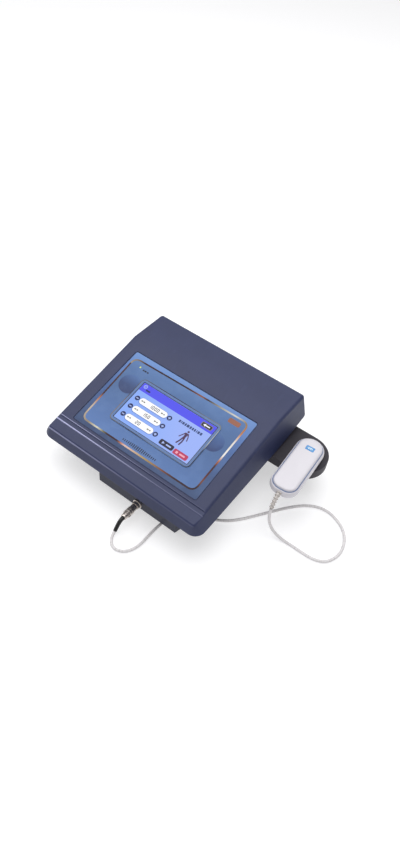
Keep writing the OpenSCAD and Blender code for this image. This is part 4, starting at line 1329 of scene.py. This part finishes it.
@dataclass
class OutputConnector:
    """The round metal connector in the bay: the socket's collar, the plug and its locking sleeve."""

    x: float = 34.0
    z: float = 19.0
    plug_end: float = -25.0
    teeth: int = 28

    def build(self) -> list[bpy.types.Object]:
        """Makes the connector and returns the pieces that are on the cable.

        Returns:
            The plug and its locking sleeve.
        """
        along = CONSOLE @ Matrix.Translation((self.x, self.plug_end, self.z)) @ FACING_BACK
        keep_shape("output_socket", 0.3, Skin.NICKEL, "nickel", segments=3)
        body = Solid("plug_barrel", along).revolve([
            (0.01, 0.0), (4.4, 0.0), (5.0, 0.3), (5.3, 0.9), (5.3, 2.2), (4.85, 2.5), (4.85, 3.2), (5.3, 3.5),
            (5.3, 6.3), (5.1, 6.5), (4.93, 6.55), (4.93, 20.0), (5.6, 20.0), (5.75, 20.2), (5.75, 38.8),
            (5.6, 39.0), (0.01, 39.0)])
        plug = Piece(soften(body.object()), Skin.NICKEL, "nickel", "root", ("plug_body",)).finish()
        sleeve = Solid("sleeve_core", along).revolve([
            (5.02, 6.85), (5.9, 6.85), (6.1, 7.1), (6.1, 11.6), (6.25, 12.0), (6.5, 12.2), (6.5, 15.6),
            (6.2, 15.9), (6.2, 16.6), (6.5, 16.9), (6.5, 19.3), (6.3, 19.65), (5.02, 19.65)], closed=True)
        tooth = Solid("tooth").flat(
            [(-0.3, -0.32), (0.0, -0.32), (0.36, -0.1), (0.36, 0.1), (0.0, 0.32), (-0.3, 0.32)], 7.2, 11.5)
        knurl = patterned("sleeve_knurl", Layout.RING, Skin.NICKEL, tooth,
                          {"Count": self.teeth, "Radius": 6.1}, along)
        nut = joined("coupling_sleeve", [sleeve.object(), knurl])
        Piece(soften(nut), Skin.NICKEL, "nickel", "plug_sleeve", ("coupling_nut",)).finish()
        return [plug, nut]


# The console


@dataclass
class Console:
    """The two case shells, the feet and the mains side."""

    half_top: float = 150.0
    depth: float = 292.0
    flare: float = 10.0
    back_flare: float = 2.0
    front: float = -4.0
    back: float = 300.0
    rim_r: float = 18.0
    rim_back_r: float = 11.0
    edge_r: float = 6.0
    crease: float = 217.0
    back_slope: float = 0.0119
    wall: float = 2.6
    lip_slope: float = math.radians(8.0)
    rim_line: tuple[tuple[float, float], ...] = ((-4.0, 57.0), (32.0, 57.0), (217.0, 68.5), (300.0, 85.0))
    corner_steps: int = 10
    fillet_steps: int = 7

    def top(self, y: float) -> float:
        """Height of the console's top surface at y, before the lip is cut.

        Args:
            y: how far back from the lip.

        Returns:
            The height.
        """
        ridge = LIP_HEIGHT + self.crease * math.tan(PANEL_SLOPE)
        if y <= self.crease:
            return LIP_HEIGHT + y * math.tan(PANEL_SLOPE)
        return ridge + (y - self.crease) * self.back_slope

    def rim(self, y: float) -> float:
        """Height of the rim's lower edge at y.

        Args:
            y: how far back from the lip.

        Returns:
            The height.
        """
        for (y0, z0), (y1, z1) in zip(self.rim_line, self.rim_line[1:]):
            if y <= y1:
                return z0 + (z1 - z0) * max(0.0, y - y0) / (y1 - y0)
        return self.rim_line[-1][1]

    def stations(self) -> list[tuple[float, float, float, int]]:
        """Places round the console from the left end of the crease, anticlockwise from above.

        Returns:
            For each, which side it is on (-1 or 1), its share of the way back, the direction that it faces in
            degrees, and whether its top is on the panel (0), on the crease (1) or behind it (2).
        """
        share = (self.crease - self.edge_r) / (self.depth - 2 * self.edge_r)
        side = (0.07, 0.2, 0.35, 0.5, 0.65)
        turn = [i / self.corner_steps * 90.0 for i in range(self.corner_steps + 1)]
        return ([(-1, share, 180.0, 1)] + [(-1, s, 180.0, 0) for s in reversed(side)]
                + [(-1, 0.0, 180.0 + a, 0) for a in turn] + [(1, 0.0, 270.0 + a, 0) for a in turn]
                + [(1, s, 0.0, 0) for s in side] + [(1, share, 0.0, 1), (1, 0.88, 0.0, 2)]
                + [(1, 1.0, a, 2) for a in turn] + [(-1, 1.0, 90.0 + a, 2) for a in turn]
                + [(-1, 0.88, 180.0, 2)])

    def column(self, station: tuple[float, float, float, int], inset: float, drop: float) -> list[Vector]:
        """The points of the wall at one place, from the rim up and over the rounded edge.

        Args:
            station: the place, as stations gives it.
            inset: how far in from the outer face the points lie.
            drop: how far under the top surface they lie.

        Returns:
            The points.
        """
        side, share, facing, zone = station
        r = self.edge_r - 0.6 * inset
        out = Vector((math.cos(math.radians(facing)), math.sin(math.radians(facing)), 0.0))
        low, high = inset + r, self.depth - inset - r
        y = low + (high - low) * share
        up = (Vector((0.0, -math.sin(PANEL_SLOPE), math.cos(PANEL_SLOPE))), Vector((0.0, -0.12, 0.993)),
              Vector((0.0, -self.back_slope, 1.0)))[zone].normalized()
        wide = self.half_top + self.back_flare * min(1.0, y / self.crease)
        middle = Vector((side * (wide - inset - r), y, self.top(y) - drop - r / up.z))
        corner = self.rim_r + (self.rim_back_r - self.rim_r) * share
        rim_y = self.front + self.rim_r + (self.back - self.front - self.rim_r - self.rim_back_r) * share
        foot = Vector((side * (self.half_top + self.flare - corner), rim_y, 0.0)) + out * (corner - inset)
        foot.z = self.rim(foot.y)
        reach, height = (foot - middle).dot(out), middle.z - foot.z - 1.0
        start = math.acos(r / math.hypot(reach, height)) - math.atan2(height, reach)
        first = out * math.cos(start) + Vector((0.0, 0.0, math.sin(start)))
        points = [foot, foot + Vector((0.0, 0.0, 1.0))]
        for i in range(self.fillet_steps + 1):
            points.append(middle + r * first.slerp(up, i / self.fillet_steps))
        return points

    def top_shell(self) -> bpy.types.Object:
        """Makes the upper case: a lofted wedge with walls, a stepped lip and the panel's recess.

        Returns:
            The case.
        """
        solid = Solid("upper_case")
        rings = []
        for inset, drop in ((self.wall, 3.6), (0.0, 0.0)):
            columns = [self.column(station, inset, drop) for station in self.stations()]
            levels = [solid.ring([column[k] for column in columns]) for k in range(len(columns[0]))]
            rings += list(reversed(levels)) if inset else levels
        solid.skin(rings, caps=False)
        ridge = [i for i, station in enumerate(self.stations()) if station[3] == 1]
        for cap in (rings[0], rings[-1]):
            solid.faces += [cap[ridge[0]:ridge[1] + 1], cap[ridge[1]:] + [cap[ridge[0]]]]
        return soften(carve(solid.object(), self.cutters()), 0.45, 30.0)

    def cutters(self) -> list[bpy.types.Object]:
        """What is cut from the upper case: the lip's steps, the recess, the window and the lamp's hole.

        Returns:
            The cutters.
        """
        rise = math.tan(self.lip_slope)
        step = LIP_HEIGHT + 20.0 * rise
        second = step + 0.9 + 7.4 * rise
        side = [(-8.0, LIP_HEIGHT - 8.0 * rise), (20.0, step), (20.7, step + 0.9), (28.0, second),
                (28.9, self.top(28.9) + 0.01), (28.9, 140.0), (-8.0, 140.0)]
        lip = Solid("lip")
        lip.skin([lip.ring([(x, y, z) for y, z in side]) for x in (-170.0, 170.0)])
        recess = Solid("recess", PANEL).plate(rounded_box(252.0, 164.0, 4.4, FILM_CENTRE), -1.2, 8.0)
        window = Solid("window", PANEL).plate(rounded_box(157.0, 92.0, 3.0, SCREEN_CENTRE), -14.0, 8.0)
        lamp = Solid("lamp", PANEL).plate(circle(1.7, (-99.0, 175.0)), -14.0, 8.0)
        return [lip.object(), recess.object(), window.object(), lamp.object()]

    def build(self) -> None:
        """Makes the case and dresses what stands on its back and underside."""
        Piece(self.top_shell(), Skin.CASE, "case_blue", "root", ("top_shell",)).finish()
        for node, bevel, skin, slot, body in (
                ("bottom_shell", 0.35, Skin.BASE, "case_dark", "root"),
                ("rubber_feet", 0.5, Skin.RUBBER, "foot_rubber", "root"),
                ("mains_inlet", 0.4, Skin.BLACK, "black_plastic", "root"),
                ("switch_frame", 0.3, Skin.BLACK, "black_plastic", "root"),
                ("power_rocker", 0.3, Skin.BLACK, "black_plastic", "rocker"),
                ("fuse_holder", 0.3, Skin.BLACK, "black_plastic", "root"),
                ("fuse_cap", 0.25, Skin.BLACK, "black_plastic", "fuse_cap_body"),
                ("rating_plate", 0.12, Skin.LABEL, "label_film", "root")):
            keep_shape(node, bevel, skin, slot, body)


# The operating panel


@dataclass
class OperatingPanel:
    """The printed film, its metallic frame line, the display with its picture, and the power lamp."""

    screen_size: tuple[float, float] = (151.6, 80.6)
    frame_corners: tuple[tuple[float, float], ...] = (
        (-119.0, 185.4), (114.2, 189.2), (113.4, 45.4), (-114.2, 44.8))
    frame_r: float = 12.0
    film_top: float = -0.4
    glass_top: float = -0.1
    rows: tuple[float, ...] = (125.0, 107.0, 88.8)

    def ink(self, rise: float) -> tuple[float, float]:
        """The lowest and highest point of a print that stands rise over the film."""
        return self.film_top - 0.1, self.film_top + rise

    def light(self, rise: float) -> tuple[float, float]:
        """The lowest and highest point of a lit shape that stands rise over the glass."""
        return self.glass_top - 0.03, self.glass_top + rise

    def put(self, name: str, skin: Skin, slot: str, draw: Callable[[Solid], None]) -> None:
        """Makes one flat printed or lit piece on the panel.

        Args:
            name: the piece's name.
            skin: its finish.
            slot: the name of a material slot, which the piece keeps but nothing uses.
            draw: what adds its shapes.
        """
        solid = Solid(name, PANEL)
        draw(solid)
        Piece(solid.object(), skin, slot).finish()

    def film(self) -> None:
        """Dresses the film and lays its coloured field, the two discs, the frame line and a painted shadow
        round its edge on it.
        """
        keep_shape("fascia_overlay", 0.12, Skin.FILM, "fascia_film")
        ccw = [self.frame_corners[i] for i in (1, 0, 3, 2)]
        outer = [(p.x, p.y) for p in rounded_path(ccw, self.frame_r, 8)[:-1]]
        hole = rounded_box(157.0, 86.0, 1.4, SCREEN_CENTRE)
        left = [(min(x, -77.0), y) for x, y in disc(19.0, (-92.0, 139.0), 48)]
        right = [(max(x, 81.5), y) for x, y in disc(17.0, (87.5, 131.0), 48)]
        line = rounded_path(self.frame_corners, self.frame_r)
        # Painted shadow: a dark band just inside the film's edge stands in for the shade in the recess's gap.
        painted_edge_shadow = (rounded_box(250.8, 162.8, 3.9, FILM_CENTRE), rounded_box(248.8, 160.8, 3.0, FILM_CENTRE))
        for name, skin, draw in (
                ("fascia_field_print", Skin.FIELD,
                 lambda s: s.band(lambda inset: outer, hole, *self.ink(0.02))),
                ("fascia_disc_left_print", Skin.LEFT_DISC, lambda s: s.flat(left, *self.ink(0.035))),
                ("fascia_disc_right_print", Skin.RIGHT_DISC, lambda s: s.flat(right, *self.ink(0.035))),
                ("fascia_frame_line", Skin.FOIL, lambda s: s.ribbon(line, 2.9, *self.ink(0.06))),
                ("fascia_painted_edge_shadow", Skin.FILM_EDGE_SHADOW, lambda s: s.band(*painted_edge_shadow, *self.ink(0.03)))):
            self.put(name, skin, "fascia_film", draw)

    def prints(self) -> None:
        """Draws the plain marks on the film: a level-bar row, three legend bars and a bronze lozenge."""
        def navy(s: Solid) -> None:
            """A symmetrical row of level bars under the display, and three bars by the lamp."""
            for i in range(-9, 10):
                height = 3.4 + 4.2 * math.cos(math.pi * i / 20.0) ** 2
                s.flat(block(1.7, height, 0.6, (3.6 * i, 52.9)), *self.ink(0.07))
            for x, width in ((-90.6, 3.2), (-86.4, 4.0), (-81.6, 3.4)):
                s.flat(block(width, 2.8, 0.7, (x, 173.2)), *self.ink(0.07))

        self.put("fascia_marks_navy", Skin.PRINT_NAVY, "fascia_film", navy)
        self.put("fascia_marks_bronze", Skin.PRINT_BRONZE, "fascia_film",
                 lambda s: s.flat(block(22.0, 9.0, 2.4, (93.0, 178.0), 6), *self.ink(0.07)))

    def surround(self) -> None:
        """Makes the display's raised surround with its metallic outline and a dark inner edge, the glass's
        black border with painted shade in it.
        """
        bezel = Solid("display_surround", PANEL).band(
            rounded_box(163.0, 92.0, 9.0, SCREEN_CENTRE), rounded_box(152.0, 81.0, 1.5, SCREEN_CENTRE),
            -0.4, 0.6, 0.4)
        Piece(soften(bezel.object()), Skin.BEZEL, "bezel_gloss", "root", ("display_bezel",)).finish()
        x, s = SCREEN_CENTRE
        corners = ((x - 80.6, s + 45.1), (x + 80.6, s + 45.1), (x + 80.6, s - 45.1), (x - 80.6, s - 45.1))
        self.put("display_outline", Skin.BEZEL_LINE, "bezel_gloss",
                 lambda solid: solid.ribbon(rounded_path(corners, 8.0), 1.2, 0.4, 0.65))
        # Partly painted shade: this dark ring is the glass's black border and also stands in for the shade
        # the surround casts on the screen.
        self.put("display_inner_edge", Skin.BLACK_BORDER_AND_SHADE, "bezel_gloss",
                 lambda solid: solid.band(rounded_box(151.8, 80.8, 1.4, SCREEN_CENTRE),
                                          rounded_box(149.8, 79.2, 0.8, SCREEN_CENTRE), -0.3, 0.02))

    def lit(self, name: str, skin: Skin, level: int, *outlines: Points) -> None:
        """Makes one layer of the display's picture out of flat outlines.

        Args:
            name: the piece's name.
            skin: its colour.
            level: how many layers lie under it.
            outlines: the shapes.
        """
        def draw(solid: Solid) -> None:
            """Adds every outline."""
            for outline in outlines:
                solid.flat(outline, *self.light(0.012 * level))

        self.put(name, skin, "screen_glass", draw)

    @staticmethod
    def digit(number: int, x: float, s: float, high: float = 5.4) -> list[Points]:
        """The strokes of a seven-stroke digit, as on a plain meter.

        Args:
            number: the digit, 0 to 9.
            x: its middle across the panel.
            s: its middle up the panel.
            high: its height.

        Returns:
            The strokes' outlines.
        """
        wide, thick = high * 0.5, high * 0.17
        strokes = {"a": (0, 1), "b": (0.5, 0.5), "c": (0.5, -0.5), "d": (0, -1), "e": (-0.5, -0.5),
                   "f": (-0.5, 0.5), "g": (0, 0)}
        lit = ("abcdef", "bc", "abged", "abgcd", "fgbc", "afgcd", "afgedc", "abc", "abcdefg",
               "abcdfg")[number]
        made = []
        for key in lit:
            dx, dy = strokes[key]
            size = (wide + thick, thick) if key in "adg" else (thick, high / 2 + thick * 0.5)
            made.append(block(*size, 0.15, (x + dx * wide, s + dy * high / 2), 1))
        return made

    def fields(self) -> None:
        """Draws the three value fields with their round buttons."""
        shade, white, navy, light, dark, olive = [], [], [], [], [], []
        readings = ((1, 0, 0, 0), (1, 5, 0), (2, 0))
        minus, plus = -63.5, 3.6
        for s, digits in zip(self.rows, readings):
            shade.append(block(58.0, 13.6, 6.6, (-30.0, s - 0.4), 8))
            white.append(block(56.0, 11.8, 5.8, (-30.0, s), 8))
            for x in (minus, plus):
                navy.append(disc(4.5, (x, s)))
                light.append(block(4.8, 1.7, 0.6, (x, s)))
            light.append(block(1.7, 4.8, 0.6, (plus, s)))
            for i, number in enumerate(digits):
                dark += self.digit(number, -35.0 + 5.0 * i, s)
            for x, width in ((-53.0, 3.4), (-48.8, 3.0), (-12.0, 3.6), (-7.6, 2.6)):
                olive.append(block(width, 2.4, 0.6, (x, s)))
        self.lit("display_field_shades", Skin.FIELD_SHADE, 1, *shade)
        self.lit("display_fields", Skin.FIELD_WHITE, 2, *white)
        self.lit("display_buttons", Skin.INK_NAVY, 2, *navy)
        self.lit("display_button_signs", Skin.INK_LIGHT, 4, *light)
        self.lit("display_digits", Skin.INK_DARK, 4, *dark)
        self.lit("display_units", Skin.INK_OLIVE, 4, *olive)

    def figure(self) -> None:
        """Draws the plain standing figure that shows where to treat."""
        x = 44.5
        limbs = ((1.7, ((-2.6, 118.6), (-5.4, 113.0), (-8.6, 107.6))),
                 (1.7, ((2.6, 118.6), (5.6, 113.4), (7.6, 106.8))),
                 (2.5, ((-1.4, 108.6), (-2.6, 102.4), (-5.2, 95.6))),
                 (2.5, ((1.4, 108.6), (1.9, 102.2), (0.6, 95.0))))
        body = [(x + dx, s) for dx, s in (
            (-3.4, 119.4), (-2.0, 112.6), (-2.7, 107.4), (2.7, 107.4), (2.0, 112.6), (3.4, 119.4))]

        def draw(solid: Solid) -> None:
            """Adds the head, body and limbs."""
            solid.flat(disc(1.9, (x, 122.4), 20), *self.light(0.03))
            solid.flat(body, *self.light(0.03))
            for width, points in limbs:
                solid.ribbon([Vector((x + dx, s)) for dx, s in points], width, *self.light(0.03))

        self.put("display_figure", Skin.INK_MAROON, "screen_glass", draw)
        legs = [turned(block(0.7, 8.0, 0.3, (x + dx, 102.0), 2), (x + dx, 102.0), turn)
                for dx, turn in ((-2.9, -20.0), (1.6, 4.0))]
        self.lit("display_figure_lines", Skin.INK_NAVY, 5, block(0.8, 9.0, 0.3, (x, 113.2), 2), *legs)

    def buttons(self) -> None:
        """Draws the heading, and the three buttons with their signs."""
        heading = [block(width, 5.0, 0.9, (at, 130.6)) for at, width in (
            (20.6, 3.4), (24.2, 1.6), (27.8, 3.6), (32.2, 3.0), (37.0, 4.6), (42.2, 3.4), (46.6, 3.0),
            (50.6, 2.8), (54.2, 1.6), (58.0, 3.8), (62.8, 3.6))]
        left, right, back = (30.0, 84.2), (58.6, 83.0), (61.5, 147.6)
        self.lit("display_heading", Skin.INK_HEADING, 2, *heading)
        self.lit("display_button_left", Skin.INK_DARK, 2, block(27.0, 9.6, 2.6, left, 8))
        self.lit("display_button_right", Skin.BUTTON_RED, 2, block(27.0, 9.6, 2.6, right, 8))
        self.lit("display_button_back", Skin.INK_OLIVE, 3, block(21.0, 8.8, 2.2, back, 8))
        self.lit("display_back_inner", Skin.INK_DARK, 4, block(18.6, 6.6, 1.6, back, 8))
        self.lit("display_back_arrow", Skin.FIELD_WHITE, 6, block(9.0, 2.0, 0.5, (63.0, 147.6), 2),
                 [(54.6, 147.6), (58.8, 145.0), (58.8, 150.2)])
        self.lit("display_left_sign", Skin.INK_LIGHT, 4, [(21.6, 81.6), (26.4, 84.2), (21.6, 86.8)],
                 block(9.6, 2.6, 0.8, (34.0, 84.2)))
        self.lit("display_right_sign", Skin.BUTTON_PINK, 4, block(4.0, 4.0, 0.5, (51.4, 83.0), 2),
                 block(10.6, 2.8, 0.8, (61.8, 83.0)))

    def display(self) -> None:
        """Makes the glass with its picture."""
        glass = Solid("display_glass", PANEL).plate(
            rounded_box(*self.screen_size, 1.2, SCREEN_CENTRE), -1.2, self.glass_top, 0.1)
        Piece(soften(glass.object()), Skin.SCREEN, "screen_glass", "root", ("touch_glass",)).finish()
        self.lit("display_header", Skin.HEADER, 1, block(149.6, 15.6, 0.3, (SCREEN_CENTRE[0], 147.1), 2))
        self.fields()
        self.figure()
        self.buttons()
        self.lit("display_header_dark", Skin.INK_NAVY, 2, block(9.0, 3.2, 1.2, (-57.5, 145.0)))

        def dial(solid: Solid) -> None:
            """A small ring with a dot."""
            x, s, r = -66.0, 149.6, 3.0
            ring = [Vector((x + r * math.cos(a), s + r * math.sin(a))) for a in [*full_turn(24), 2 * math.pi]]
            solid.ribbon(ring, 1.1, *self.light(0.03))
            solid.flat(disc(1.1, (x, s), 12), *self.light(0.03))

        self.put("display_header_dial", Skin.INK_LIGHT, "screen_glass", dial)

    def build(self) -> None:
        """Makes the whole panel."""
        self.film()
        self.prints()
        self.surround()
        self.display()
        keep_shape("power_led", 0.3, Skin.LAMP, "led_lens", segments=3)


# The probe holder and the handset


@dataclass
class ProbeHolder:
    """The moulded arm with the cup that the treatment head stands in."""

    edge: float = 1.3
    liner_edge: float = 0.5

    def build(self) -> None:
        """Makes the holder and its rubber liner."""
        keep_shape("probe_holder", self.edge, Skin.HOLDER, "holder_plastic", segments=4)
        keep_shape("holder_liner", self.liner_edge, Skin.RUBBER, "foot_rubber", segments=3)


@dataclass
class Handset:
    """The treatment handset: a shell and a cover with a blue seam between, a badge and the metal head."""

    half_width: float = 24.5
    tail: float = 102.5
    tail_r: float = 20.0
    shell: tuple[tuple[float, float], ...] = (
        (5.4, 67.5), (3.2, 68.2), (1.5, 69.9), (0.3, 73.0), (0.0, 75.8), (0.3, 78.6), (0.9, 80.7),
        (1.7, 81.8), (2.9, 82.5))
    cover: tuple[tuple[float, float], ...] = (
        (4.2, 83.0), (4.25, 84.0), (4.7, 85.3), (5.8, 86.2), (7.6, 86.7), (10.4, 86.92), (14.5, 87.0))
    seam: tuple[tuple[float, float], ...] = ((2.8, 82.3), (2.8, 82.9), (3.05, 83.2), (5.0, 83.3))
    badge_centre: tuple[float, float] = (1.0, -3.0)

    def paddle(self, inset: float) -> Points:
        """The handset's outline, moved in by inset.

        Args:
            inset: how far it is moved in.

        Returns:
            The outline's points.
        """
        points = []
        x, y = self.half_width - self.tail_r, self.tail_r - self.tail
        for (cx, cy), r, start, end, steps in (((0.0, 0.0), self.half_width, 0, 180, 32),
                                               ((-x, y), self.tail_r, 180, 270, 16),
                                               ((x, y), self.tail_r, 270, 360, 16)):
            for i in range(steps + 1):
                a = math.radians(start + (end - start) * i / steps)
                points.append((cx + (r - inset) * math.cos(a), cy + (r - inset) * math.sin(a)))
        return points

    def body(self, name: str, profile: Sequence[tuple[float, float]]) -> bpy.types.Object:
        """A smooth body through outlines at the profile's insets and heights."""
        made = Solid(name, HANDSET).loft([(self.paddle(p.x), p.y) for p in curve_through(profile, 3)])
        return soften(made.object(), crease=40.0)

    def add(self, made: bpy.types.Object, skin: Skin, slot: str, *replaces: str) -> None:
        """Finishes a piece that rides on the handset."""
        Piece(made, skin, slot, "handset", replaces).finish()

    def build(self) -> None:
        """Makes the handset."""
        self.add(self.body("handset_lower", self.shell), Skin.WHITE, "handset_white", "handset_shell")
        self.add(self.body("handset_cover", self.cover), Skin.WHITE, "handset_white", "handset_top")
        seam = Solid("handset_seam", HANDSET).loft([(self.paddle(inset), z) for inset, z in self.seam])
        self.add(soften(seam.object()), Skin.GASKET, "gasket_blue", "handset_gasket")
        badge = Solid("handset_badge_plate", HANDSET).plate(
            rounded_box(15.4, 9.8, 1.8, self.badge_centre), 86.4, 87.2, 0.25)
        self.add(soften(badge.object()), Skin.BADGE, "badge_blue", "handset_badge")
        marks = Solid("handset_badge_marks", HANDSET)
        for i, height in enumerate((2.0, 4.4, 3.0, 5.2, 2.6)):
            marks.flat(block(1.1, height, 0.4, (-2.6 + 1.8 * i, self.badge_centre[1])), 87.1, 87.28)
        self.add(marks.object(), Skin.BADGE_MARK, "badge_blue")
        keep_shape("treatment_head", 0.3, Skin.HEAD, "head_metal", "handset", 3)
        keep_shape("head_seal", 0.0, Skin.RUBBER, "gasket_blue", "handset")
        coil = patterned(
            "contact_coil", Layout.COIL, Skin.BRASS, Solid("seed").flat(disc(0.1, (0.0, 0.0)), 0.0, 0.1),
            {"Turns": 4.5, "Radius": 5.2, "Top": 4.0, "Height": 9.6, "Wire": 0.45},
            HANDSET @ Matrix.Translation((0.0, 0.0, 56.9)))
        self.add(soften(coil), Skin.BRASS, "brass_parts", "contact_spring")


# What is inside, and the fixings


@dataclass
class Inside:
    """The parts that keep their CAD shape, and what each is made of."""

    skins: dict[str, Skin] = field(default_factory=lambda: {
        "lcd_panel": Skin.LCD, "display_board": Skin.BOARD, "display_standoffs": Skin.BRASS,
        "display_ribbon": Skin.RIBBON, "main_board": Skin.BOARD, "board_standoffs": Skin.BRASS,
        "board_screws": Skin.STEEL, "buzzer": Skin.BLACK, "power_supply": Skin.BOARD,
        "transformer": Skin.LAMINATION, "amplifier_board": Skin.BOARD, "heat_sink": Skin.ALUMINIUM,
        "rf_lead": Skin.BOOT, "mains_wires": Skin.WIRE, "socket_nut": Skin.NICKEL, "inlet_pins": Skin.BRASS,
        "rocker_pin": Skin.STEEL, "fuse_link": Skin.GLASS, "foot_screws": Skin.STEEL,
        "case_screws": Skin.STEEL, "holder_screws": Skin.STEEL, "holder_nuts": Skin.STEEL,
        "piezo_disc": Skin.CERAMIC, "handset_board": Skin.BOARD, "handset_screws": Skin.STEEL})

    def build(self) -> None:
        """Gives each node its material."""
        for node, skin in self.skins.items():
            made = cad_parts[node]
            made.data.materials.clear()
            made.data.materials.append(skin.value.material())
            LOG.info("%s dressed as %s", node, skin.value.name)


def main() -> None:
    """Builds the studio and the unit."""
    logging.basicConfig(level=logging.INFO, format="%(name)s: %(message)s")
    Studio().build()
    on_cable = OutputConnector().build()
    ProbeCable().build(on_cable)
    for part in (Console(), OperatingPanel(), ProbeHolder(), Handset(), Inside()):
        part.build()


if __name__ == "__main__":
    main()
